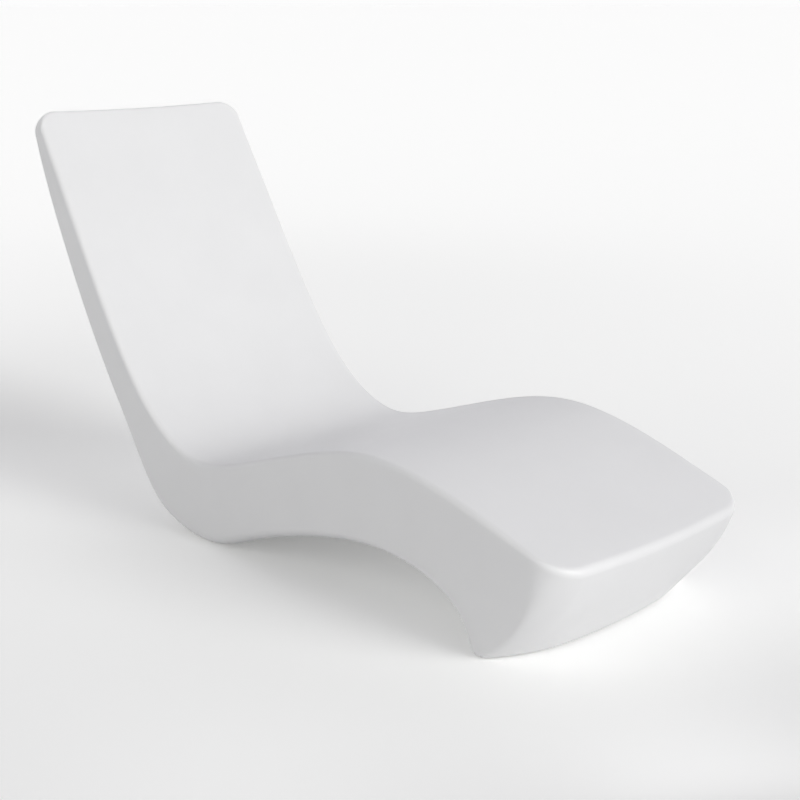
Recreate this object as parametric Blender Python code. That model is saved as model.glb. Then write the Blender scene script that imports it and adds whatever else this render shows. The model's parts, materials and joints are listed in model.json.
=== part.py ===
"""Outdoor lounge chair: a hollow one-piece moulded shell, two ballast plugs and four screwed-on glides.

Metres, +Z up. The origin is on the floor under the middle of the chair, +X runs towards the feet, and the
chair is alike on both sides of the XZ plane. The shell is a closed side outline carried across the width: it
is rounded over along both sides, and its two ends are drawn in round their corners.
"""

import math

import bmesh
import bpy
import numpy as np
from mathutils import Matrix, Vector

# Overall sizes of the shell, between the corners of its outlines before they are rounded
LENGTH = 1.769
WIDTH = 0.65
HEIGHT = 0.971
WALL = 0.005

# The gap between pieces that touch, and how far a cutter runs past what it cuts
FIT_GAP = 0.0003
OVERRUN = 0.002

# Side outline: corner points and the points of its smooth runs, as shares of LENGTH and of HEIGHT
SEAT_LINE_SHARES = (
    (0.017, 1.000),
    (0.106, 0.727),
    (0.201, 0.449),
    (0.263, 0.311),
    (0.316, 0.239),
    (0.374, 0.205),
    (0.453, 0.229),
    (0.556, 0.291),
    (0.642, 0.337),
    (0.710, 0.354),
    (0.798, 0.337),
    (0.894, 0.288),
    (1.000, 0.220),
)
WALL_LINE_SHARES = ((1.000, 0.220), (0.971, 0.110), (0.931, 0.000))
SOLE_LINE_SHARES = ((0.931, 0.000), (0.871, 0.000))
UNDER_LINE_SHARES = (
    (0.871, 0.000),
    (0.852, 0.069),
    (0.820, 0.113),
    (0.772, 0.141),
    (0.715, 0.149),
    (0.641, 0.133),
    (0.568, 0.100),
    (0.489, 0.053),
    (0.431, 0.013),
    (0.384, 0.000),
    (0.337, 0.010),
    (0.289, 0.044),
    (0.250, 0.113),
    (0.214, 0.211),
    (0.175, 0.317),
    (0.131, 0.446),
    (0.071, 0.657),
    (0.025, 0.849),
    (0.000, 0.985),
)
TOP_LINE_SHARES = ((0.000, 0.985), (0.017, 1.000))

# Which place along the seat line lies across from a place along the lower line, as shares of their lengths
LOWER_PAIR_SHARES = (0.00, 0.10, 0.15, 0.27, 0.51, 0.66, 0.75, 1.00)
SEAT_PAIR_SHARES = (0.00, 0.06, 0.11, 0.25, 0.53, 0.70, 0.78, 1.00)

# Roundings of the side outline at its corners
LIP_RADIUS = 0.012
FOOT_FRONT_RADIUS = 0.022
FOOT_INNER_RADIUS = 0.014
TOP_REAR_RADIUS = 0.012
TOP_FRONT_RADIUS = 0.012

# Roundings along the two sides: at the seat, at the foot's sole, at the heel and at the rear's top. Between
# the last three the rounding grows and shrinks, up to and from these shares of the underside's length.
SEAT_EDGE_RADIUS = 0.013
SOLE_EDGE_RADIUS = 0.008
HEEL_EDGE_RADIUS = 0.026
CROWN_EDGE_RADIUS = 0.010
HEEL_EDGE_FROM_SHARE = 0.30
HEEL_EDGE_TO_SHARE = 0.62

# Corners of the two ends, seen from above at the front and from the front at the top. The foot's corners are
# longer across the chair than along it, and leave a flat of this length at its side.
LIP_CORNER_RADIUS = 0.050
FOOT_CORNER_RADIUS = 0.110
FOOT_CORNER_DEPTH = 0.045
FOOT_SIDE_FLAT = 0.015
TOP_CORNER_RADIUS = 0.055

# Slow bows of the surfaces across the width, and the lengths over which the ends are drawn in
LIP_BOW = 0.016
FOOT_BOW = 0.032
TOP_HOLLOW = 0.006
SIDE_BOW = 0.012
SEAT_HOLLOW = 0.004
WIDEST_SHARE = 0.43
FRONT_REACH_SHARE = 0.14
TOP_REACH_SHARE = 0.10
SEAT_HOLLOW_FADE_SHARE = 0.12

# Glides, their screws and the inserts that take them
GLIDE_PROUD = 0.003
GLIDE_RECESS = 0.005
GLIDE_RADIUS = 0.020
GLIDE_ROUNDING = 0.002
GLIDE_SPREAD = 0.200
GLIDE_WEB = 0.0025
SCREW_RADIUS = 0.003
SCREW_LENGTH = 0.016
SCREW_HEAD_RADIUS = 0.0055
SCREW_HEAD_HEIGHT = 0.0025
SCREW_SOCKET_RADIUS = 0.0023
SCREW_SOCKET_DEPTH = 0.0016
WASHER_RADIUS = 0.0075
WASHER_THICKNESS = 0.0012
INSERT_RADIUS = 0.0055
INSERT_GROOVE = 0.0008
INSERT_LENGTH = 0.018
INSERT_END = 0.002
BOSS_COVER = 0.006

# Ballast plugs: bush, sealing ring and slotted screw plug
PLUG_RECESS_RADIUS = 0.030
PLUG_RECESS_DEPTH = 0.010
BUSH_RADIUS = 0.019
BUSH_FLANGE_RADIUS = 0.023
BUSH_FLANGE_THICKNESS = 0.004
BUSH_LENGTH = 0.022
BORE_RADIUS = 0.0135
THREAD_CLEARANCE = 0.0006
PLUG_SHANK_LENGTH = 0.013
PLUG_FLANGE_RADIUS = 0.0185
PLUG_FLANGE_THICKNESS = 0.005
PLUG_ROUNDING = 0.0012
PLUG_SLOT_WIDTH = 0.004
PLUG_SLOT_DEPTH = 0.0025
SEAL_RADIUS = 0.0175
SEAL_THICKNESS = 0.0025
FILLER_DROP = 0.170
DRAIN_HEIGHT = 0.115

# Facet counts of the outer skin, of the cavity and of turned pieces
OUTER_FACETS = {
    "wall_steps": 4,
    "front_steps": 3,
    "sole_steps": 2,
    "inner_steps": 3,
    "under_steps": 32,
    "lip_steps": 4,
    "top_steps": 1,
    "corner_steps": 9,
    "middle_steps": 2,
    "side_steps": 3,
}
CAVITY_FACETS = {
    "wall_steps": 3,
    "front_steps": 2,
    "sole_steps": 1,
    "inner_steps": 2,
    "under_steps": 30,
    "lip_steps": 2,
    "top_steps": 1,
    "corner_steps": 5,
    "middle_steps": 1,
    "side_steps": 1,
}
TURN_STEPS = 24
SCREW_STEPS = 16
SPLINE_STEPS = 40
TANGENT_SHARE = 0.002
EVEN_SHARE = 0.20
SHARP_DEGREES = 35
SOCKET_SIDES = 6

MATERIALS = {
    "moulded_white": {"color": (0.80, 0.80, 0.81), "roughness": 0.42, "metallic": 0.0},
    "bush_nylon": {"color": (0.62, 0.62, 0.63), "roughness": 0.50, "metallic": 0.0},
    "plug_nylon": {"color": (0.72, 0.72, 0.73), "roughness": 0.45, "metallic": 0.0},
    "seal_rubber": {"color": (0.05, 0.05, 0.05), "roughness": 0.75, "metallic": 0.0},
    "glide_rubber": {"color": (0.35, 0.35, 0.36), "roughness": 0.80, "metallic": 0.0},
    "stainless": {"color": (0.60, 0.60, 0.60), "roughness": 0.30, "metallic": 1.0},
    "insert_brass": {"color": (0.72, 0.55, 0.28), "roughness": 0.35, "metallic": 1.0},
}


def natural_spline(points, steps):
    """Closely spaced points of the natural cubic spline through the points, which chord length spaces out."""
    knots = np.array(points, dtype=float)
    place = np.concatenate(([0.0], np.cumsum(np.linalg.norm(np.diff(knots, axis=0), axis=1))))
    if len(knots) == 2:
        share = np.linspace(0.0, 1.0, steps + 1)[:, None]
        return knots[0] + share * (knots[1] - knots[0])
    gap = np.diff(place)
    size = len(knots)
    matrix = np.eye(size)
    right = np.zeros((size, 2))
    slope = np.diff(knots, axis=0) / gap[:, None]
    for row in range(1, size - 1):
        matrix[row, row - 1] = gap[row - 1]
        matrix[row, row] = 2 * (gap[row - 1] + gap[row])
        matrix[row, row + 1] = gap[row]
        right[row] = 6 * (slope[row] - slope[row - 1])
    bend = np.linalg.solve(matrix, right)
    pieces = [np.linspace(one, other, steps, endpoint=False) for one, other in zip(place[:-1], place[1:])]
    where = np.concatenate(pieces + [place[-1:]])
    piece = np.clip(np.searchsorted(place, where, side="right") - 1, 0, size - 2)
    after = (where - place[piece])[:, None]
    before = (place[piece + 1] - where)[:, None]
    span = gap[piece][:, None]
    cubic = (bend[piece] * before**3 + bend[piece + 1] * after**3) / (6 * span)
    left = (knots[piece] / span - bend[piece] * span / 6) * before
    return cubic + left + (knots[piece + 1] / span - bend[piece + 1] * span / 6) * after


class Run:
    """A smooth stretch of the side outline, read by the length along it."""

    def __init__(self, shares):
        places = [((x - 0.5) * LENGTH, GLIDE_PROUD + z * (HEIGHT - GLIDE_PROUD)) for x, z in shares]
        self.points = natural_spline(places, SPLINE_STEPS)
        steps = np.linalg.norm(np.diff(self.points, axis=0), axis=1)
        self.lengths = np.concatenate(([0.0], np.cumsum(steps)))
        self.length = self.lengths[-1]
        self.start = 0.0
        self.end = self.length

    def at(self, place):
        """The points at the lengths along the run."""
        return np.stack([np.interp(place, self.lengths, self.points[:, axis]) for axis in range(2)], axis=-1)

    def direction(self, place):
        """The unit direction of the run at one length along it."""
        reach = TANGENT_SHARE * self.length
        step = self.at(min(place + reach, self.length)) - self.at(max(place - reach, 0.0))
        return step / np.linalg.norm(step)

    def spread(self, steps):
        """Places between the run's two ends, closer together where it bends more."""
        legs = np.diff(self.points, axis=0)
        heading = np.unwrap(np.arctan2(legs[:, 1], legs[:, 0]))
        bend = np.abs(np.gradient(heading)) / np.diff(self.lengths) * self.length
        density = np.sqrt(bend + EVEN_SHARE * bend.mean() + self.length / LENGTH)
        count = np.concatenate(([0.0], np.cumsum(density * np.diff(self.lengths))))
        ends = np.interp((self.start, self.end), self.lengths, count)
        places = np.interp(np.linspace(*ends, steps + 1), count, self.lengths)
        return np.clip(places, self.start, self.end)


def round_corner(before, after, radius, steps):
    """Shortens two runs that meet in a corner, and gives the points of the rounding between them."""
    turn = math.acos(np.clip(np.dot(before.direction(before.length), after.direction(0.0)), -1.0, 1.0))
    trim = min(radius * math.tan(turn / 2), before.length / 3, after.length / 3)
    before.end = before.length - trim
    after.start = trim
    start, end = before.at(before.end), after.at(after.start)
    handle = trim / math.tan(turn / 2) * 4 / 3 * math.tan(turn / 4)
    first = start + handle * before.direction(before.end)
    second = end - handle * after.direction(after.start)
    share = np.linspace(0.0, 1.0, steps + 1)[1:-1, None]
    rest = 1 - share
    return rest**3 * start + 3 * rest**2 * share * first + 3 * rest * share**2 * second + share**3 * end


def ease(share):
    """Rises smoothly from 0 to 1 as the share does."""
    held = np.clip(share, 0.0, 1.0)
    return held * held * (3 - 2 * held)


def half_width(x):
    """Half the chair's width at a place along it: widest at WIDEST_SHARE and a little less at both ends."""
    return WIDTH / 2 - SIDE_BOW * ((x / LENGTH + 0.5 - WIDEST_SHARE) / 0.5) ** 2


def round_over(radius, distance):
    """How far a rounding of this radius has turned in at a distance from the side that it ends on."""
    inside = np.maximum(radius - distance, 0.0)
    return radius - np.sqrt(np.maximum(radius**2 - inside**2, 0.0))


class SideOutline:
    """The closed side outline, sampled alike for every slice across the width.

    Its points go round in this order: seat from the top to the lip, lip rounding, front wall, rounding, sole,
    rounding, underside and rear up to the top, rounding, top, rounding.
    """

    def __init__(self, facets):
        self.seat = Run(SEAT_LINE_SHARES)
        self.wall = Run(WALL_LINE_SHARES)
        self.sole = Run(SOLE_LINE_SHARES)
        self.under = Run(UNDER_LINE_SHARES)
        self.top = Run(TOP_LINE_SHARES)
        self.lip_corner = round_corner(self.seat, self.wall, LIP_RADIUS, facets["lip_steps"])
        self.front_corner = round_corner(self.wall, self.sole, FOOT_FRONT_RADIUS, facets["front_steps"])
        self.inner_corner = round_corner(self.sole, self.under, FOOT_INNER_RADIUS, facets["inner_steps"])
        self.rear_corner = round_corner(self.under, self.top, TOP_REAR_RADIUS, facets["lip_steps"])
        self.crown_corner = round_corner(self.top, self.seat, TOP_FRONT_RADIUS, facets["lip_steps"])
        self.wall_places = self.wall.spread(facets["wall_steps"])
        self.sole_places = self.sole.spread(facets["sole_steps"])
        self.under_places = self.under.spread(facets["under_steps"])
        self.top_places = self.top.spread(facets["top_steps"])
        self.seat_places = self.paired_seat_places()
        self.middle = (self.lip_end() + self.rear_end()) / 2

    def lip_end(self):
        """The furthest place forward."""
        return self.lip_corner[:, 0].max()

    def rear_end(self):
        """The furthest place back."""
        return self.rear_corner[:, 0].min()

    def lower_line(self):
        """The points from the lip's underside round the foot and the heel to the top."""
        parts = (self.wall.at(self.wall_places), self.front_corner, self.sole.at(self.sole_places))
        return np.concatenate(parts + (self.inner_corner, self.under.at(self.under_places)))

    def paired_seat_places(self):
        """Places along the seat that lie across from the points of the lower line."""
        line = self.lower_line()
        length = np.concatenate(([0.0], np.cumsum(np.linalg.norm(np.diff(line, axis=0), axis=1))))
        share = np.interp(length / length[-1], LOWER_PAIR_SHARES, SEAT_PAIR_SHARES)[::-1]
        return self.seat.start + (1 - share) * (self.seat.end - self.seat.start)

    def slice(self, front_pull, foot_pull, top_pull):
        """The outline's points with the lip, the foot and the top drawn in by these lengths."""
        seat, wall, under, top = self.seat, self.wall, self.under, self.top
        front_reach = FRONT_REACH_SHARE * LENGTH
        top_reach = TOP_REACH_SHARE * LENGTH
        back_from_lip = -seat.direction(seat.end)
        down_front = seat.direction(seat.start)
        down_rear = -under.direction(under.end)
        lip_shift = front_pull * back_from_lip
        foot_pull = min(foot_pull, self.sole.end - self.sole.start - FOOT_SIDE_FLAT)
        foot_shift = np.array((-foot_pull, 0.0))
        near_lip = ease(1 - (seat.end - self.seat_places) / front_reach)
        near_top = ease(1 - (self.seat_places - seat.start) / top_reach)
        seat_points = seat.at(self.seat_places - front_pull * near_lip + top_pull * near_top)
        down_wall = ((self.wall_places - wall.start) / (wall.end - wall.start))[:, None]
        wall_points = wall.at(self.wall_places) + (1 - down_wall) * lip_shift + down_wall * foot_shift
        along_sole = ((self.sole.end - self.sole_places) / (self.sole.end - self.sole.start))[:, None]
        sole_points = self.sole.at(self.sole_places) + along_sole * foot_shift
        rear_top = ease(1 - (under.end - self.under_places) / top_reach)
        under_points = under.at(self.under_places - top_pull * rear_top)
        over_top = ((self.top_places - top.start) / (top.end - top.start))[:, None]
        top_points = top.at(self.top_places) + top_pull * ((1 - over_top) * down_rear + over_top * down_front)
        parts = (
            seat_points,
            self.lip_corner + lip_shift,
            wall_points,
            self.front_corner + foot_shift,
            sole_points,
            self.inner_corner,
            under_points,
            self.rear_corner + top_pull * down_rear,
            top_points,
            self.crown_corner + top_pull * down_front,
        )
        return np.concatenate(parts) - (self.middle, 0.0)

    def edge_radii(self):
        """The rounding along the side at each point of the outline."""
        falling = np.cos(np.linspace(0.0, math.pi / 2, len(self.lip_corner) + 2))[1:-1]
        rising = falling[::-1]
        from_foot = self.under_places / self.under.length
        grown = ease(from_foot / HEEL_EDGE_FROM_SHARE)
        shrunk = ease((from_foot - HEEL_EDGE_TO_SHARE) / (1 - HEEL_EDGE_TO_SHARE))
        under_radii = SOLE_EDGE_RADIUS + (HEEL_EDGE_RADIUS - SOLE_EDGE_RADIUS) * grown
        under_radii += (CROWN_EDGE_RADIUS - HEEL_EDGE_RADIUS) * shrunk
        growing = np.linspace(0.0, SOLE_EDGE_RADIUS, len(self.front_corner) + 2)[1:-1]
        parts = (
            np.full(len(self.seat_places), SEAT_EDGE_RADIUS),
            SEAT_EDGE_RADIUS * falling,
            np.zeros(len(self.wall_places)),
            growing,
            np.full(len(self.sole_places) + len(self.inner_corner), SOLE_EDGE_RADIUS),
            under_radii,
            CROWN_EDGE_RADIUS * falling,
            np.zeros(len(self.top_places)),
            SEAT_EDGE_RADIUS * rising,
        )
        return np.concatenate(parts)

    def seat_hollow(self):
        """How far the seat's middle lies below its edges at each point of the outline."""
        share = (self.seat_places - self.seat.start) / (self.seat.end - self.seat.start)
        fade = ease(share / SEAT_HOLLOW_FADE_SHARE) * ease((1 - share) / SEAT_HOLLOW_FADE_SHARE)
        others = len(self.edge_radii()) - len(self.seat_places)
        return np.concatenate((SEAT_HOLLOW * fade, np.zeros(others)))


def inward(points):
    """Unit normals into the closed outline, which runs clockwise as seen from the -Y side."""
    along = np.roll(points, -1, axis=0) - np.roll(points, 1, axis=0)
    along /= np.linalg.norm(along, axis=1)[:, None]
    return np.stack((along[:, 1], -along[:, 0]), axis=1)


def end_pulls(distance, across, inset):
    """How far the lip, the foot and the top are drawn in at a distance from the side.

    Across is 0 in the chair's middle and 1 at its side.
    """
    lip = LIP_BOW * across**2 + round_over(LIP_CORNER_RADIUS - inset, distance)
    foot_corner = round_over(FOOT_CORNER_RADIUS - inset, distance) / (FOOT_CORNER_RADIUS - inset)
    foot = FOOT_BOW * across**2 + (FOOT_CORNER_DEPTH - inset) * foot_corner
    top = TOP_HOLLOW * (1 - across**2) + round_over(TOP_CORNER_RADIUS - inset, distance)
    return lip, foot, top


def foot_middle(outline, y):
    """The place along the chair in the middle of the foot's flat sole, at a place across the chair."""
    front, back = outline.sole.at(np.array((outline.sole.start, outline.sole.end)))[:, 0]
    pull = end_pulls(WIDTH / 2 - y, y / (WIDTH / 2), 0)[1]
    return (front - pull + back) / 2 - outline.middle


def shell_slices(outline, facets, inset):
    """Rows of points from one side of the chair to the other, each once round the side outline."""
    radii = np.maximum(outline.edge_radii() - inset, 0.0)
    hollow = outline.seat_hollow()
    corner = FOOT_CORNER_RADIUS
    angles = np.linspace(math.pi / 2, 0.0, facets["corner_steps"] + 1)
    distances = list(corner * (1 - np.sin(angles)))
    shares = [0.0] * len(distances) + list(np.linspace(0.0, 1.0, facets["middle_steps"] + 1)[1:])
    distances += [corner] * facets["middle_steps"]
    rows = []
    for distance, share in zip(distances, shares):
        across = (1 - share) * (1 - distance / (WIDTH / 2))
        points = outline.slice(*end_pulls(distance, across, inset))
        depth = inset + round_over(radii, distance) + hollow * (1 - across**2)
        points = points + depth[:, None] * inward(points)
        y = (half_width(points[:, 0]) - inset - distance) * (1 - share)
        rows.append(np.stack((points[:, 0], y, points[:, 1]), axis=1))
    mirrored = [row * (1, -1, 1) for row in rows[:-1]]
    return rows + mirrored[::-1]


def side_fill(row, outline, facets, inset, sign, first, base):
    """Points and faces that close one side between the seat line and the lower line of its last row."""
    seats = len(outline.seat_places)
    lips = len(outline.lip_corner)
    lower = seats + lips
    lower_end = lower + seats - 1
    points, faces, columns = [], [], []
    for index in range(seats):
        high, low = row[index], row[lower_end - index]
        column = [base + index]
        for step in range(1, facets["side_steps"]):
            place = high + (low - high) * step / facets["side_steps"]
            place[1] = sign * (half_width(place[0]) - inset)
            column.append(first + len(points))
            points.append(place)
        column.append(base + lower_end - index)
        columns.append(column)
    for left, right in zip(columns[:-1], columns[1:]):
        for step in range(facets["side_steps"]):
            faces.append((left[step], left[step + 1], right[step + 1], right[step]))
    nose = list(range(base + seats - 1, base + lower + 1))
    faces.append(tuple(nose + columns[-1][-2:0:-1]))
    crown = list(range(base + lower_end, base + len(row))) + [base]
    faces.append(tuple(crown + columns[0][1:-1]))
    return points, faces


def shell_body(name, facets, inset):
    """The shell's outer form, or with an inset the same form that much smaller all round."""
    outline = SideOutline(facets)
    rows = shell_slices(outline, facets, inset)
    ring = len(rows[0])
    points = [place for row in rows for place in row]
    faces = []
    for line in range(len(rows) - 1):
        for index in range(ring):
            after = (index + 1) % ring
            here, there = line * ring, (line + 1) * ring
            faces.append((here + index, here + after, there + after, there + index))
    for row, sign, base in ((rows[0], 1, 0), (rows[-1], -1, (len(rows) - 1) * ring)):
        more, sides = side_fill(row, outline, facets, inset, sign, len(points), base)
        points += more
        faces += sides
    return mesh_object(name, points, faces)


def mesh_object(name, points, faces):
    """An object of these points and faces, in triangles that face outwards and are shaded smooth."""
    mesh = bpy.data.meshes.new(name)
    mesh.from_pydata([tuple(place) for place in points], [], faces)
    build = bmesh.new()
    build.from_mesh(mesh)
    bmesh.ops.triangulate(build, faces=build.faces)
    bmesh.ops.recalc_face_normals(build, faces=build.faces)
    build.to_mesh(mesh)
    build.free()
    mesh.shade_smooth()
    mesh.set_sharp_from_angle(angle=math.radians(SHARP_DEGREES))
    made = bpy.data.objects.new(name, mesh)
    bpy.context.scene.collection.objects.link(made)
    return made


def turned(name, outline, steps=TURN_STEPS):
    """A piece turned about Z from its closed half outline of radii and heights."""
    points, rings = [], []
    for radius, height in outline:
        if radius == 0:
            rings.append([len(points)])
            points.append((0.0, 0.0, height))
            continue
        angles = [2 * math.pi * step / steps for step in range(steps)]
        rings.append(list(range(len(points), len(points) + steps)))
        points += [(radius * math.cos(angle), radius * math.sin(angle), height) for angle in angles]
    faces = []
    for one, other in zip(rings, rings[1:] + rings[:1]):
        if len(one) == 1 and len(other) == 1:
            continue
        for step in range(steps):
            after = (step + 1) % steps
            here = (one[step % len(one)], one[after % len(one)])
            there = (other[after % len(other)], other[step % len(other)])
            faces.append(tuple(dict.fromkeys(here + there)))
    return mesh_object(name, points, faces)


def box(name, sides):
    """A box of these sides, centred on the origin."""
    mesh = bpy.data.meshes.new(name)
    build = bmesh.new()
    bmesh.ops.create_cube(build, size=1, matrix=Matrix.Diagonal((*sides, 1)))
    build.to_mesh(mesh)
    build.free()
    made = bpy.data.objects.new(name, mesh)
    bpy.context.scene.collection.objects.link(made)
    return made


def disc(name, radius, low, high, steps=TURN_STEPS):
    """A plain cylinder on the Z axis from one height to another."""
    return turned(name, ((0, low), (radius, low), (radius, high), (0, high)), steps)


def hide(cutter):
    """Keeps a cutter out of the finished part."""
    cutter.hide_render = True
    cutter.display_type = "WIRE"
    return cutter


def cut(target, cutter):
    """Takes the cutter's shape out of the target."""
    modifier = target.modifiers.new(cutter.name, "BOOLEAN")
    modifier.operation = "DIFFERENCE"
    modifier.solver = "EXACT"
    modifier.object = hide(cutter)


def cut_all(target, name, cutters):
    """Takes all the cutters' shapes, which stand clear of each other, out of the target at once."""
    group = bpy.data.collections.new(name)
    bpy.context.scene.collection.children.link(group)
    for cutter in cutters:
        bpy.context.scene.collection.objects.unlink(hide(cutter))
        group.objects.link(cutter)
    modifier = target.modifiers.new(name, "BOOLEAN")
    modifier.operation = "DIFFERENCE"
    modifier.solver = "EXACT"
    modifier.operand_type = "COLLECTION"
    modifier.collection = group


def along(place, normal):
    """The placing that puts the origin at a place and +Z along a normal, with +Y kept level."""
    up = Vector(normal).normalized()
    side = Vector((0, 1, 0))
    front = side.cross(up).normalized()
    side = up.cross(front)
    matrix = Matrix((front, side, up)).transposed().to_4x4()
    matrix.translation = place
    return matrix


def material(slot):
    """The material of a slot, made once."""
    made = bpy.data.materials.get(slot) or bpy.data.materials.new(slot)
    made.use_nodes = True
    values = MATERIALS[slot]
    shader = made.node_tree.nodes["Principled BSDF"]
    shader.inputs["Base Color"].default_value = (*values["color"], 1)
    shader.inputs["Roughness"].default_value = values["roughness"]
    shader.inputs["Metallic"].default_value = values["metallic"]
    made.diffuse_color = (*values["color"], 1)
    return made


def finish(piece, slot, frame):
    """Gives a piece its material and fixes it to the empty that places it."""
    piece.data.materials.append(material(slot))
    piece.parent = frame
    return piece


def empty(name, matrix):
    """An empty that carries the pieces of one fitting."""
    made = bpy.data.objects.new(name, None)
    made.matrix_world = matrix
    bpy.context.scene.collection.objects.link(made)
    return made


def bush_outline(gap):
    """Half outline of a bush's outside, from its face at height 0 inwards, larger by the gap."""
    flange_top = -(BUSH_LENGTH - BUSH_FLANGE_THICKNESS) / 2
    flange_low = flange_top - BUSH_FLANGE_THICKNESS
    return (
        (BUSH_RADIUS + gap, 0),
        (BUSH_RADIUS + gap, flange_top + gap),
        (BUSH_FLANGE_RADIUS + gap, flange_top + gap),
        (BUSH_FLANGE_RADIUS + gap, flange_low - gap),
        (BUSH_RADIUS + gap, flange_low - gap),
        (BUSH_RADIUS + gap, -BUSH_LENGTH - gap),
    )


def plug_fitting(name, matrix):
    """Bush, sealing ring and screw plug in a recess of the shell, whose floor is at height 0.

    Gives the solid that the shell keeps for them out of its cavity, and the room that they take out of it.
    """
    frame = empty(name + "_frame", matrix)
    boss_radius = PLUG_RECESS_RADIUS + WALL
    boss_top = PLUG_RECESS_DEPTH + WALL
    stem_radius = BUSH_FLANGE_RADIUS + BOSS_COVER
    boss_outline = (
        (0, boss_top),
        (boss_radius, boss_top),
        (boss_radius, -WALL),
        (stem_radius, -WALL),
        (stem_radius, -BUSH_LENGTH),
        (0, -BUSH_LENGTH),
    )
    boss = turned(name + "_boss", boss_outline)
    over = 2 * PLUG_RECESS_DEPTH
    face, *outside, tail = bush_outline(FIT_GAP)
    end = -BUSH_LENGTH - OVERRUN
    mouth = ((0, over), (PLUG_RECESS_RADIUS, over), (PLUG_RECESS_RADIUS, 0))
    room_outline = (*mouth, face, *outside, (tail[0], end), (0, end))
    room = turned(name + "_room", room_outline)
    boss.parent = room.parent = frame
    bush = turned(name + "_bush", (*bush_outline(0), (BORE_RADIUS, -BUSH_LENGTH), (BORE_RADIUS, 0)))
    finish(bush, "bush_nylon", frame)
    seal_top = FIT_GAP + SEAL_THICKNESS
    shank = BORE_RADIUS - THREAD_CLEARANCE
    neck = shank + FIT_GAP
    ring = ((neck, FIT_GAP), (SEAL_RADIUS, FIT_GAP), (SEAL_RADIUS, seal_top), (neck, seal_top))
    finish(turned(name + "_seal", ring), "seal_rubber", frame)
    flange_low = seal_top + FIT_GAP
    flange_top = flange_low + PLUG_FLANGE_THICKNESS
    chamfer = shank - PLUG_ROUNDING
    plug_outline = (
        (0, -PLUG_SHANK_LENGTH),
        (chamfer, -PLUG_SHANK_LENGTH),
        (shank, PLUG_ROUNDING - PLUG_SHANK_LENGTH),
        (shank, flange_low),
        (PLUG_FLANGE_RADIUS, flange_low),
        (PLUG_FLANGE_RADIUS, flange_top - PLUG_ROUNDING),
        (PLUG_FLANGE_RADIUS - PLUG_ROUNDING, flange_top),
        (0, flange_top),
    )
    plug = finish(turned(name + "_plug", plug_outline), "plug_nylon", frame)
    slot = box(name + "_slot", (2 * PLUG_FLANGE_RADIUS + OVERRUN, PLUG_SLOT_WIDTH, 2 * PLUG_SLOT_DEPTH))
    slot.parent = frame
    slot.location = (0, 0, flange_top)
    cut(plug, slot)
    return boss, room


def insert_outline(gap):
    """Half outline of an insert's outside from its open face at height 0 upwards, larger by the gap."""
    waist = INSERT_RADIUS - INSERT_GROOVE + gap
    rim = INSERT_RADIUS + gap
    third = INSERT_LENGTH / 3
    lower = ((rim, 0), (rim, third), (waist, third))
    return (*lower, (waist, 2 * third), (rim, 2 * third), (rim, INSERT_LENGTH + gap))


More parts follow.
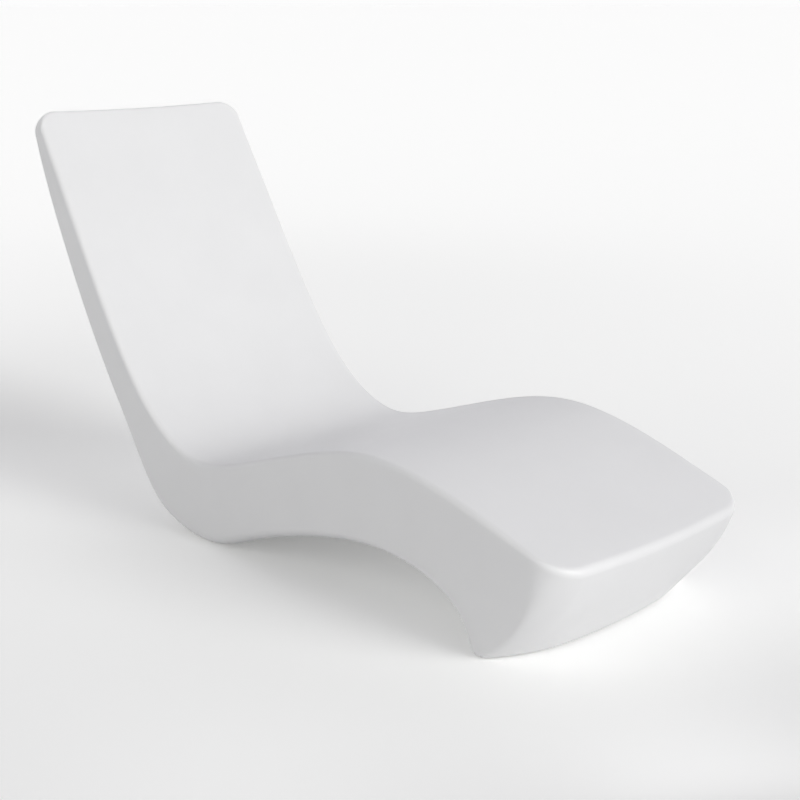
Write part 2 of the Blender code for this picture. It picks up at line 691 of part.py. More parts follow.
def glide_fitting(place_name, x, y):
    """A glide with its washer, screw and insert in a recess of the shell; height 0 is the floor.

    Gives the solid that the shell keeps for them out of its cavity, and the room that they take out of it.
    """
    frame = empty("fitting_" + place_name, Matrix.Translation((x, y, 0)))
    recess_top = GLIDE_PROUD + GLIDE_RECESS
    boss_radius = GLIDE_RADIUS + WALL
    stem_radius = INSERT_RADIUS + BOSS_COVER
    stem_top = recess_top + INSERT_LENGTH + BOSS_COVER
    boss_outline = (
        (0, stem_top),
        (stem_radius, stem_top),
        (stem_radius, recess_top + WALL),
        (boss_radius, recess_top + WALL),
        (boss_radius, -OVERRUN),
        (0, -OVERRUN),
    )
    boss = turned("boss_" + place_name, boss_outline)
    recess_radius = GLIDE_RADIUS + FIT_GAP
    pocket = [(radius, recess_top + height) for radius, height in insert_outline(FIT_GAP)]
    mouth = ((0, -OVERRUN), (recess_radius, -OVERRUN), (recess_radius, recess_top))
    room_outline = (*mouth, *pocket, (0, pocket[-1][1]))
    room = turned("room_" + place_name, room_outline)
    boss.parent = room.parent = frame

    glide_top = recess_top - FIT_GAP
    web_low = glide_top - GLIDE_WEB
    sunk = WASHER_RADIUS + FIT_GAP
    hole = SCREW_RADIUS + FIT_GAP
    glide_outline = (
        (hole, glide_top),
        (hole, web_low),
        (sunk, web_low),
        (sunk, 0),
        (GLIDE_RADIUS - GLIDE_ROUNDING, 0),
        (GLIDE_RADIUS, GLIDE_ROUNDING),
        (GLIDE_RADIUS, glide_top),
    )
    finish(turned("glide_" + place_name, glide_outline), "glide_rubber", frame)
    washer_top = web_low - FIT_GAP
    washer_low = washer_top - WASHER_THICKNESS
    ring = ((hole, washer_top), (hole, washer_low), (WASHER_RADIUS, washer_low), (WASHER_RADIUS, washer_top))
    finish(turned("washer_" + place_name, ring, SCREW_STEPS), "stainless", frame)
    head_top = washer_low - FIT_GAP
    head_low = head_top - SCREW_HEAD_HEIGHT
    head_rounding = SCREW_HEAD_HEIGHT / 3
    tip = head_top + SCREW_LENGTH
    screw_outline = (
        (0, head_low),
        (SCREW_HEAD_RADIUS - head_rounding, head_low),
        (SCREW_HEAD_RADIUS, head_low + head_rounding),
        (SCREW_HEAD_RADIUS, head_top),
        (SCREW_RADIUS, head_top),
        (SCREW_RADIUS, tip - head_rounding),
        (SCREW_RADIUS - head_rounding, tip),
        (0, tip),
    )
    screw = finish(turned("screw_" + place_name, screw_outline, SCREW_STEPS), "stainless", frame)
    socket_ends = (-SCREW_SOCKET_DEPTH, SCREW_SOCKET_DEPTH)
    socket = disc("socket_" + place_name, SCREW_SOCKET_RADIUS, *socket_ends, SOCKET_SIDES)
    socket.parent = frame
    socket.location = (0, 0, head_low)
    cut(screw, socket)
    bore = SCREW_RADIUS + FIT_GAP
    bore_top = INSERT_LENGTH - INSERT_END
    inside = ((0, INSERT_LENGTH), (0, bore_top), (bore, bore_top), (bore, 0))
    insert = turned("insert_" + place_name, (*insert_outline(0), *inside), SCREW_STEPS)
    finish(insert, "insert_brass", frame).location = (0, 0, recess_top)
    return boss, room


def rear_place(outline, length):
    """The place on the rear that lies a length below the top along it, and the way that the surface faces."""
    under = outline.under
    x, z = under.at(under.length - length)
    along_x, along_z = under.direction(under.length - length)
    return (x - outline.middle, 0, z), (-along_z, 0, along_x)


def heel_bottom(under):
    """The index of the lowest point of the heel along the underside's run."""
    behind_arch = under.points[:, 0] < under.points[:, 0].mean()
    return np.where(behind_arch, under.points[:, 1], HEIGHT).argmin()


def length_down_to(outline, height):
    """The length along the rear from the top down to a height on the heel."""
    under = outline.under
    low = heel_bottom(under)
    return under.length - np.interp(height, under.points[low:, 1], under.lengths[low:])


def build():
    """Makes every piece of the chair."""
    outline = SideOutline(OUTER_FACETS)
    shell = shell_body("shell", OUTER_FACETS, 0.0)
    shell.data.materials.append(material("moulded_white"))
    cavity = shell_body("cavity", CAVITY_FACETS, WALL)
    fittings = []
    filler = rear_place(outline, FILLER_DROP)
    drain = rear_place(outline, length_down_to(outline, DRAIN_HEIGHT))
    for name, (place, normal) in (("filler", filler), ("drain", drain)):
        floor = Vector(place) - PLUG_RECESS_DEPTH * Vector(normal)
        fittings.append(plug_fitting(name, along(floor, normal)))
    foot_x = foot_middle(outline, GLIDE_SPREAD)
    heel_x = outline.under.points[heel_bottom(outline.under), 0] - outline.middle
    for end, x in (("front", foot_x), ("rear", heel_x)):
        for side, sign in (("left", 1), ("right", -1)):
            fittings.append(glide_fitting(f"{end}_{side}", x, sign * GLIDE_SPREAD))
    bosses, rooms = zip(*fittings)
    cut_all(cavity, "bosses", bosses)
    cut(shell, cavity)
    cut_all(shell, "rooms", rooms)


for leftover in list(bpy.data.objects):
    bpy.data.objects.remove(leftover, do_unlink=True)
build()
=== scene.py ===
"""Looks of the outdoor lounge chair: its moulded shell, ballast plugs and glides, in a plain pale studio.

Metres, +Z up, +X towards the feet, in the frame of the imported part. Every surface is a function of two
parameters on a grid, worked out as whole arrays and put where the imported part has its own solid.
"""

import json
import logging
import math
from dataclasses import dataclass, field
from enum import Enum

import bmesh
import bpy
import numpy as np
from mathutils import Matrix, Vector


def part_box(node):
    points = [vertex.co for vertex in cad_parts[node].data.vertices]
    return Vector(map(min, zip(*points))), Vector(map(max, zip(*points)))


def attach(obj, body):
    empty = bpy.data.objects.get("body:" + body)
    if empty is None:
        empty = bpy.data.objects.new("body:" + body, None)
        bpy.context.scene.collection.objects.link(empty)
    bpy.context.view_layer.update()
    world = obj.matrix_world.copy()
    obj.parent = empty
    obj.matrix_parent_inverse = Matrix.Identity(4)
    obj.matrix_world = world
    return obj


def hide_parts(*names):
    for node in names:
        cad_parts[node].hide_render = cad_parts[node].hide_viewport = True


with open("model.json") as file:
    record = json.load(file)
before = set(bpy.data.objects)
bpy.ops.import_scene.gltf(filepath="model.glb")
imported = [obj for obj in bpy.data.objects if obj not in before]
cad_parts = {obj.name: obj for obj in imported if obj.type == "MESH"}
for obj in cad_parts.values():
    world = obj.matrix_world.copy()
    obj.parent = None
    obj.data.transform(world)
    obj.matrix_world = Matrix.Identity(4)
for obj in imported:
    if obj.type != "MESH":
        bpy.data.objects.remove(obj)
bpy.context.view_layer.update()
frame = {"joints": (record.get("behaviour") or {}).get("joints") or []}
LOG = logging.getLogger("lounge_chair")
Array = np.ndarray
Thing = bpy.types.Object
Socket = bpy.types.NodeSocket
Triple = tuple[float, float, float]

# Edges that turn by more than this stay sharp
SHARP_ANGLE = math.radians(35.0)
# How far up its arc a recess's rim meets the skin, as a share of the arc's radius
RIM_CROSSING = math.sin(math.radians(65.0))
# The steps of a cutter's rounded edge, and Blender's number for a round one
BEVEL_STEPS = 3
BEVEL_PROFILE = 0.5
# The Mix node's factor and two colours among its inputs, and its colour among its outputs
MIX_INPUTS = (0, 6, 7)
MIX_OUTPUT = 2
# The values that noise mostly lies between, and the narrower ones that break up a worn edge
NOISE_RANGE = (0.3, 0.7)
BREAK_RANGE = (0.35, 0.65)
# The pointiness that Blender gives a flat surface
FLAT_POINTINESS = 0.5
# How much of a moulded skin's height is its slow orange peel, the rest being fine grain
PEEL_SHARE = 0.6
# The detail of each noise in a moulded skin, by the input that sets its size, and of the worn edges' noise
SKIN_DETAILS = {"Grain Size": 2.0, "Peel Size": 1.0, "Cloud Size": 3.0}
WEAR_DETAIL = 3.0


class Slot(Enum):
    """The record's material slots."""

    SHELL = "moulded_white"
    BUSH = "bush_nylon"
    PLUG = "plug_nylon"
    SEAL = "seal_rubber"
    GLIDE = "glide_rubber"
    STEEL = "stainless"
    BRASS = "insert_brass"


class Body(Enum):
    """The bodies that pieces ride on."""

    CHAIR = "chair"
    FILLER_RING = "filler_ring"
    FILLER_SCREW = "filler_screw"
    DRAIN_RING = "drain_ring"
    DRAIN_SCREW = "drain_screw"


def ease(share: Array) -> Array:
    """Rises smoothly from 0 to 1 as the share does: 3 s squared less 2 s cubed."""
    held = np.clip(share, 0.0, 1.0)
    return held * held * (3 - 2 * held)


def round_over(radius: Array, distance: Array) -> Array:
    """How far a rounding of this radius has turned in at a distance from the side that it ends on."""
    inside = np.maximum(radius - distance, 0.0)
    return radius - np.sqrt(np.maximum(radius**2 - inside**2, 0.0))


def full_turn(steps: int) -> Array:
    """The angles of a full turn that is cut into this many steps."""
    return np.linspace(0.0, 2 * math.pi, steps, endpoint=False)


def lengths_along(line: Array) -> Array:
    """How far along a line each of its points lies, summed over the straight steps between them."""
    return np.concatenate(([0.0], np.cumsum(np.linalg.norm(np.diff(line, axis=0), axis=1))))


def natural_spline(knots: Array, steps: int) -> Array:
    """Points of the natural cubic spline through the knots, whose parameter is the chord length.

    Args:
        knots: The points that the curve passes through, one in a row.
        steps: How many steps each gap between two knots is cut into.

    Returns:
        The curve's points, one in a row.
    """
    place = lengths_along(knots)
    size = len(knots)
    where = np.interp(np.linspace(0, size - 1, (size - 1) * steps + 1), np.arange(size), place)
    if size == 2:
        return knots[0] + (where / place[-1])[:, None] * (knots[1] - knots[0])
    gap = np.diff(place)
    slope = np.diff(knots, axis=0) / gap[:, None]
    inner = np.arange(1, size - 1)
    matrix = np.eye(size)
    matrix[inner, inner - 1] = gap[:-1]
    matrix[inner, inner] = 2 * (gap[:-1] + gap[1:])
    matrix[inner, inner + 1] = gap[1:]
    right = np.zeros((size, 2))
    right[inner] = 6 * np.diff(slope, axis=0)
    bend = np.linalg.solve(matrix, right)
    piece = np.clip(np.searchsorted(place, where, side="right") - 1, 0, size - 2)
    after = (where - place[piece])[:, None]
    before = (place[piece + 1] - where)[:, None]
    span = gap[piece][:, None]
    cubic = (bend[piece] * before**3 + bend[piece + 1] * after**3) / (6 * span)
    left = (knots[piece] / span - bend[piece] * span / 6) * before
    return cubic + left + (knots[piece + 1] / span - bend[piece + 1] * span / 6) * after


def smooth(mesh: bpy.types.Mesh) -> None:
    """Shades a mesh smooth, but for its sharp edges."""
    mesh.shade_smooth()
    mesh.set_sharp_from_angle(angle=SHARP_ANGLE)


def linked(name: str, data: bpy.types.ID) -> Thing:
    """A new object in the scene.

    Args:
        name: The object's name.
        data: Its mesh, lamp or camera.

    Returns:
        The object, at the origin.
    """
    made = bpy.data.objects.new(name, data)
    bpy.context.scene.collection.objects.link(made)
    return made


def facing(name: str, data: bpy.types.ID, back: Vector) -> Thing:
    """A new lamp or camera in the scene, turned to face away from a direction.

    Args:
        name: The object's name.
        data: Its lamp or camera.
        back: The direction behind it.

    Returns:
        The object, at the origin.
    """
    made = linked(name, data)
    made.rotation_mode = "QUATERNION"
    made.rotation_quaternion = back.to_track_quat("Z", "Y")
    return made


@dataclass
class Surface:
    """Points and the corner indices of their faces, one array of faces for each number of corners."""

    points: Array
    faces: list[Array]

    def placed(self, matrix: Matrix) -> "Surface":
        """The same surface carried from its own frame into the chair's by a matrix."""
        turn = np.array(matrix.to_3x3())
        return Surface(self.points @ turn.T + np.array(matrix.translation), self.faces)

    def lifted(self, rise: Array) -> "Surface":
        """The same surface with its first points raised.

        Args:
            rise: A height for each row and column of the points that are raised.

        Returns:
            The raised surface.
        """
        points = self.points.copy()
        points[: rise.size, 2] += rise.reshape(-1)
        return Surface(points, self.faces)

    def piece(self, name: str) -> Thing:
        """Makes a smooth-shaded object at the origin, with its faces turned outwards.

        Args:
            name: The object's name.

        Returns:
            The new object.
        """
        mesh = bpy.data.meshes.new(name)
        corners = [face for block in self.faces for face in block.tolist()]
        mesh.from_pydata(self.points.tolist(), [], corners)
        build = bmesh.new()
        build.from_mesh(mesh)
        bmesh.ops.recalc_face_normals(build, faces=build.faces)
        build.to_mesh(mesh)
        build.free()
        smooth(mesh)
        return linked(name, mesh)


def grid_faces(indices: Array) -> Array:
    """The four-cornered faces between neighbouring rows and columns of a lattice of point indices."""
    corners = (indices[:-1, :-1], indices[:-1, 1:], indices[1:, 1:], indices[1:, :-1])
    return np.stack(corners, axis=-1).reshape(-1, 4)


def turned(profile: Array, columns: int, closed: bool = False, radii: Array | None = None) -> Surface:
    """A profile of radii and heights turned about Z: x is r cos a, y is r sin a and z the height.

    Args:
        profile: Radius and height of each row. An open profile starts and ends on the axis.
        columns: How many steps the full turn is cut into.
        closed: Whether the profile comes back to its first row, as a ring's does.
        radii: A radius for each row and column, where the radius changes round the turn.

    Returns:
        The closed surface. An open profile's two ends on the axis are single points.
    """
    angle = full_turn(columns)
    rows = profile if closed else profile[1:-1]
    radius = np.repeat(rows[:, :1], columns, axis=1) if radii is None else radii
    height = np.repeat(rows[:, 1:], columns, axis=1)
    points = np.stack((radius * np.cos(angle), radius * np.sin(angle), height), axis=-1).reshape(-1, 3)
    indices = np.arange(len(points)).reshape(len(rows), columns)
    indices = np.concatenate((indices, indices[:, :1]), axis=1)
    if closed:
        return Surface(points, [grid_faces(np.concatenate((indices, indices[:1])))])
    poles = np.array(((0.0, 0.0, profile[0, 1]), (0.0, 0.0, profile[-1, 1])))
    fans = []
    for ring, pole in ((indices[0], len(points)), (indices[-1], len(points) + 1)):
        fans.append(np.stack((ring[:-1], ring[1:], np.full(columns, pole)), axis=-1))
    return Surface(np.concatenate((points, poles)), [grid_faces(indices), *fans])


def arc(centre: tuple[float, float], radius: float, start: float, end: float, steps: int) -> Array:
    """Points of an arc in a profile's plane: the centre plus the radius times cosine and sine of the angle.

    Args:
        centre: The arc's middle, as radius and height.
        radius: The arc's own radius.
        start: Angle of the first point, in degrees.
        end: Angle of the last point, in degrees.
        steps: How many steps the arc is cut into.

    Returns:
        The points, one in a row.
    """
    angle = np.radians(np.linspace(start, end, steps + 1))
    return np.array(centre) + radius * np.stack((np.cos(angle), np.sin(angle)), axis=1)


def carve(target: Thing, cutters: list[Thing]) -> None:
    """Takes the cutters' shapes out of the target's mesh for good, and removes the cutters.

    Args:
        target: The piece to cut.
        cutters: Closed shapes, all gone afterwards.
    """
    group = bpy.data.collections.new(target.name + "_cutters")
    for cutter in cutters:
        group.objects.link(cutter)
    modifier = target.modifiers.new("carve", "BOOLEAN")
    modifier.operation = "DIFFERENCE"
    modifier.solver = "EXACT"
    modifier.operand_type = "COLLECTION"
    modifier.collection = group
    graph = bpy.context.evaluated_depsgraph_get()
    carved = bpy.data.meshes.new_from_object(target.evaluated_get(graph))
    target.modifiers.clear()
    target.data = carved
    for cutter in cutters:
        bpy.data.objects.remove(cutter, do_unlink=True)
    bpy.data.collections.remove(group)


def box_cutter(name: str, sides: Triple, rounding: float, matrix: Matrix) -> Thing:
    """A box with rounded edges, to cut with.

    Args:
        name: The cutter's name.
        sides: The box's lengths along its own axes.
        rounding: The radius of its edges.
        matrix: What carries it from the origin into place.

    Returns:
        The cutter.
    """
    build = bmesh.new()
    bmesh.ops.create_cube(build, size=1, matrix=Matrix.Diagonal((*sides, 1)))
    bmesh.ops.bevel(
        build, geom=build.edges, offset=rounding, segments=BEVEL_STEPS, profile=BEVEL_PROFILE, affect="EDGES"
    )
    bmesh.ops.transform(build, matrix=matrix, verts=build.verts)
    mesh = bpy.data.meshes.new(name)
    build.to_mesh(mesh)
    build.free()
    return linked(name, mesh)


@dataclass(frozen=True)
class Bench:
    """Places shader nodes in one tree and joins their sockets."""

    tree: bpy.types.NodeTree

    def add(self, kind: str, **settings: object) -> bpy.types.Node:
        """Places a node.

        Args:
            kind: The node's type.
            settings: Values for the node's own attributes.

        Returns:
            The new node.
        """
        node = self.tree.nodes.new(kind)
        for name, value in settings.items():
            setattr(node, name, value)
        return node

    def feed(self, target: Socket, source: object) -> None:
        """Gives an input its value.

        Args:
            target: The input.
            source: A socket to join to it, or a value to set on it.
        """
        if isinstance(source, Socket):
            self.tree.links.new(source, target)
        else:
            target.default_value = source

    def math(self, operation: str, *values: object) -> Socket:
        """One sum on sockets or numbers.

        Args:
            operation: The sum's name in Blender.
            values: Its terms, in order.

        Returns:
            The result.
        """
        node = self.add("ShaderNodeMath", operation=operation)
        for target, value in zip(node.inputs, values):
            self.feed(target, value)
        return node.outputs[0]

    def noise(self, vector: Socket, scale: object, detail: float) -> Socket:
        """Smooth noise from 0 to 1.

        Args:
            vector: Where the noise is read.
            scale: Its repeats for each metre.
            detail: How many finer layers lie over it.

        Returns:
            The noise.
        """
        node = self.add("ShaderNodeTexNoise")
        self.feed(node.inputs["Vector"], vector)
        self.feed(node.inputs["Scale"], scale)
        node.inputs["Detail"].default_value = detail
        return node.outputs["Fac"]

    def ramp(self, value: object, low: object, high: object, start: object, end: object) -> Socket:
        """Carries a value from one range into another, held at the new range's ends.

        Args:
            value: The value.
            low: The old range's low end.
            high: The old range's high end.
            start: What the low end becomes.
            end: What the high end becomes.

        Returns:
            The carried value.
        """
        node = self.add("ShaderNodeMapRange", clamp=True)
        titles = ("Value", "From Min", "From Max", "To Min", "To Max")
        for title, source in zip(titles, (value, low, high, start, end)):
            self.feed(node.inputs[title], source)
        return node.outputs["Result"]

    def blend(self, factor: object, one: object, other: object) -> Socket:
        """The mix of two colours.

        Args:
            factor: The share of the other colour.
            one: The one colour.
            other: The other colour.

        Returns:
            The mixed colour.
        """
        node = self.add("ShaderNodeMix", data_type="RGBA", blend_type="MIX")
        for index, source in zip(MIX_INPUTS, (factor, one, other)):
            self.feed(node.inputs[index], source)
        return node.outputs[MIX_OUTPUT]


def node_group(name: str, inputs: dict[str, float], outputs: tuple[str, ...]) -> tuple[Bench, object, object]:
    """A new shader node group whose sockets all hold numbers, but for its first input, a place.

    Args:
        name: The group's name.
        inputs: The number inputs and their values.
        outputs: The number outputs.

    Returns:
        The bench of the group's tree, and its input and output nodes.
    """
    tree = bpy.data.node_groups.new(name, "ShaderNodeTree")
    tree.interface.new_socket("Place", in_out="INPUT", socket_type="NodeSocketVector")
    for title, value in inputs.items():
        tree.interface.new_socket(title, in_out="INPUT", socket_type="NodeSocketFloat").default_value = value
    for title in outputs:
        tree.interface.new_socket(title, in_out="OUTPUT", socket_type="NodeSocketFloat")
    bench = Bench(tree)
    return bench, bench.add("NodeGroupInput"), bench.add("NodeGroupOutput")


def grain_group() -> bpy.types.NodeTree:
    """The skin that a mould leaves, as a node group.

    Returns:
        The group. Its height is fine grain over a slow orange peel, each by its share, and its cloud is a
        slower noise.
    """
    known = bpy.data.node_groups.get("mould_grain")
    if known:
        return known
    bench, given, made = node_group(
        "mould_grain", {"Grain Size": 0.001, "Peel Size": 0.010, "Cloud Size": 0.15}, ("Height", "Cloud")
    )
    noises = []
    for title, detail in SKIN_DETAILS.items():
        scale = bench.math("DIVIDE", 1.0, given.outputs[title])
        noises.append(bench.noise(given.outputs["Place"], scale, detail))
    grain, peel, cloud = noises
    fine = bench.math("MULTIPLY", grain, 1 - PEEL_SHARE)
    height = bench.math("MULTIPLY_ADD", peel, PEEL_SHARE, fine)
    bench.feed(made.inputs["Height"], height)
    bench.feed(made.inputs["Cloud"], cloud)
    return bench.tree


def wear_group() -> bpy.types.NodeTree:
    """Where a piece is rubbed, as a node group.

    Returns:
        The group. Its mask rises from 0 on flat places to 1 on outer edges, times noise that breaks it up.
    """
    known = bpy.data.node_groups.get("edge_wear")
    if known:
        return known
    bench, given, made = node_group("edge_wear", {"Break Size": 0.004, "Reach": 0.04}, ("Mask",))
    bent = bench.add("ShaderNodeNewGeometry").outputs["Pointiness"]
    scale = bench.math("DIVIDE", 1.0, given.outputs["Break Size"])
    broken = bench.ramp(bench.noise(given.outputs["Place"], scale, WEAR_DETAIL), *BREAK_RANGE, 0.0, 1.0)
    most = bench.math("ADD", FLAT_POINTINESS, given.outputs["Reach"])
    edge = bench.ramp(bent, FLAT_POINTINESS, most, 0.0, 1.0)
    bench.feed(made.inputs["Mask"], bench.math("MULTIPLY", edge, broken))
    return bench.tree


@dataclass(frozen=True)
class Finish:
    """A surface finish: its colour and gloss, the grain of its skin and how its edges are rubbed."""

    slot: Slot
    color: Triple
    roughness: float
    metallic: float = 0.0
    grain_size: float = 0.0012
    peel_size: float = 0.010
    cloud_size: float = 0.15
    relief: float = 0.00004
    roughness_spread: float = 0.06
    color_spread: float = 0.02
    wear_color: Triple = (0.9, 0.9, 0.9)
    wear_share: float = 0.0
    ior: float = 1.5
    specular: float = 0.5

    def material(self) -> bpy.types.Material:
        """Builds the finish's material the first time.

        Returns:
            The material, the same one each time.
        """
        known = bpy.data.materials.get("look_" + self.slot.value)
        if known:
            return known
        made = bpy.data.materials.new("look_" + self.slot.value)
        made.use_nodes = True
        bench = Bench(made.node_tree)
        shader = made.node_tree.nodes["Principled BSDF"]
        place = bench.add("ShaderNodeTexCoord").outputs["Object"]
        grain = bench.add("ShaderNodeGroup", node_tree=grain_group())
        wear = bench.add("ShaderNodeGroup", node_tree=wear_group())
        for group in (grain, wear):
            bench.feed(group.inputs["Place"], place)
        for title, size in zip(SKIN_DETAILS, (self.grain_size, self.peel_size, self.cloud_size)):
            grain.inputs[title].default_value = size
        cloud, height, rubbed = grain.outputs["Cloud"], grain.outputs["Height"], wear.outputs["Mask"]
        low = tuple(value * (1 - self.color_spread) for value in self.color)
        high = tuple(min(value * (1 + self.color_spread), 1.0) for value in self.color)
        color = bench.blend(bench.ramp(cloud, *NOISE_RANGE, 0.0, 1.0), (*low, 1), (*high, 1))
        share = bench.math("MULTIPLY", rubbed, self.wear_share)
        bench.feed(shader.inputs["Base Color"], bench.blend(share, color, (*self.wear_color, 1)))
        least, most = self.roughness - self.roughness_spread, self.roughness + self.roughness_spread
        bench.feed(shader.inputs["Roughness"], bench.ramp(height, *NOISE_RANGE, least, most))
        bump = bench.add("ShaderNodeBump")
        bump.inputs["Strength"].default_value = 1.0
        bump.inputs["Distance"].default_value = self.relief
        bench.feed(bump.inputs["Height"], height)
        bench.feed(shader.inputs["Normal"], bump.outputs["Normal"])
        constants = {"Metallic": self.metallic, "IOR": self.ior, "Specular IOR Level": self.specular}
        for title, value in constants.items():
            shader.inputs[title].default_value = value
        return made


SHELL_FINISH = Finish(Slot.SHELL, (0.80, 0.80, 0.81), 0.42, relief=0.00003, color_spread=0.01)
BUSH_FINISH = Finish(Slot.BUSH, (0.62, 0.62, 0.63), 0.50, cloud_size=0.01, wear_share=0.3)
PLUG_FINISH = Finish(Slot.PLUG, (0.72, 0.72, 0.73), 0.45, cloud_size=0.01, wear_share=0.4)
SEAL_FINISH = Finish(
    Slot.SEAL,
    (0.05, 0.05, 0.05),
    0.75,
    grain_size=0.0006,
    peel_size=0.004,
    cloud_size=0.006,
    color_spread=0.25,
    wear_color=(0.14, 0.14, 0.14),
    wear_share=0.5,
)
GLIDE_FINISH = Finish(
    Slot.GLIDE,
    (0.35, 0.35, 0.36),
    0.80,
    grain_size=0.0008,
    peel_size=0.005,
    cloud_size=0.008,
    color_spread=0.12,
    wear_color=(0.5, 0.5, 0.5),
    wear_share=0.5,
)
STEEL_FINISH = Finish(
    Slot.STEEL,
    (0.60, 0.60, 0.60),
    0.30,
    metallic=1.0,
    grain_size=0.0004,
    peel_size=0.003,
    cloud_size=0.004,
    relief=0.00001,
    color_spread=0.05,
    wear_color=(0.8, 0.8, 0.8),
    wear_share=0.5,
)
BRASS_FINISH = Finish(
    Slot.BRASS,
    (0.72, 0.55, 0.28),
    0.35,
    metallic=1.0,
    grain_size=0.0004,
    peel_size=0.003,
    cloud_size=0.004,
    relief=0.00001,
    color_spread=0.08,
    wear_color=(0.9, 0.75, 0.45),
    wear_share=0.5,
)


def dress(piece: Thing, finish: Finish, body: Body, node: str) -> None:
    """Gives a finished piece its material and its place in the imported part.

    Args:
        piece: The object, at the origin with its place in its mesh.
        finish: What its surface looks like.
        body: The body that it moves with.
        node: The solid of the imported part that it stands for.
    """
    piece.data.materials.clear()
    piece.data.materials.append(finish.material())
    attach(piece, body.value)
    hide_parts(node)
    LOG.info("%s: %d faces, rides on %s", piece.name, len(piece.data.polygons), body.value)


class Run:
    """A smooth stretch of the side outline, read by the length along it."""

    def __init__(self, knots: Array, steps: int, nearness: float) -> None:
        """Takes the knots of the stretch.

        Args:
            knots: The points that it passes through, as places along and above the floor.
            steps: How many steps each gap between two knots is cut into.
            nearness: The reach of a tangent, as a share of the stretch's length.
        """
        self.points = natural_spline(knots, steps)
        self.lengths = lengths_along(self.points)
        self.length = float(self.lengths[-1])
        self.reach = nearness * self.length
        self.start = 0.0
        self.end = self.length

    def at(self, place: Array) -> Array:
        """The points at the lengths along the run, whatever the shape of their array."""
        return np.stack([np.interp(place, self.lengths, self.points[:, axis]) for axis in range(2)], axis=-1)

    def direction(self, place: float) -> Array:
        """The unit direction of the run at one length along it."""
        step = self.at(min(place + self.reach, self.length)) - self.at(max(place - self.reach, 0.0))
        return step / np.linalg.norm(step)

    def spread(self, steps: int, evenness: float, unit: float) -> Array:
        """Places between the run's two ends, closer together where it bends more.

        Args:
            steps: How many steps to take.
            evenness: The share of the mean bend that is added everywhere.
            unit: The chair's length, against which the run's own length is weighed.

        Returns:
            The lengths along the run. Their density is the root of the bend, the added bend and the run's
            length over the unit, all summed.
        """
        legs = np.diff(self.points, axis=0)
        heading = np.unwrap(np.arctan2(legs[:, 1], legs[:, 0]))
        bend = np.abs(np.gradient(heading)) / np.diff(self.lengths) * self.length
        density = np.sqrt(bend + evenness * bend.mean() + self.length / unit)
        count = np.concatenate(([0.0], np.cumsum(density * np.diff(self.lengths))))
        ends = np.interp((self.start, self.end), self.lengths, count)
        places = np.interp(np.linspace(*ends, steps + 1), count, self.lengths)
        return np.clip(places, self.start, self.end)


def round_corner(before: Run, after: Run, radius: float, steps: int) -> Array:
    """Shortens two runs that meet in a corner, and gives the points of the rounding between them.

    Args:
        before: The run that ends in the corner.
        after: The run that starts there.
        radius: The radius of the rounding.
        steps: How many steps it is cut into.

    Returns:
        The points between its two ends, on the cubic curve whose handles suit an arc of that radius.
    """
    turn = math.acos(np.clip(np.dot(before.direction(before.length), after.direction(0.0)), -1.0, 1.0))
    # A rounding takes no more than a third of either run
    trim = min(radius * math.tan(turn / 2), before.length / 3, after.length / 3)
    before.end = before.length - trim
    after.start = trim
    start, end = before.at(before.end), after.at(after.start)
    handle = trim / math.tan(turn / 2) * 4 / 3 * math.tan(turn / 4)
    first = start + handle * before.direction(before.end)
    second = end - handle * after.direction(after.start)
    share = np.linspace(0.0, 1.0, steps + 1)[1:-1, None]
    rest = 1 - share
    return rest**3 * start + 3 * rest**2 * share * first + 3 * rest * share**2 * second + share**3 * end


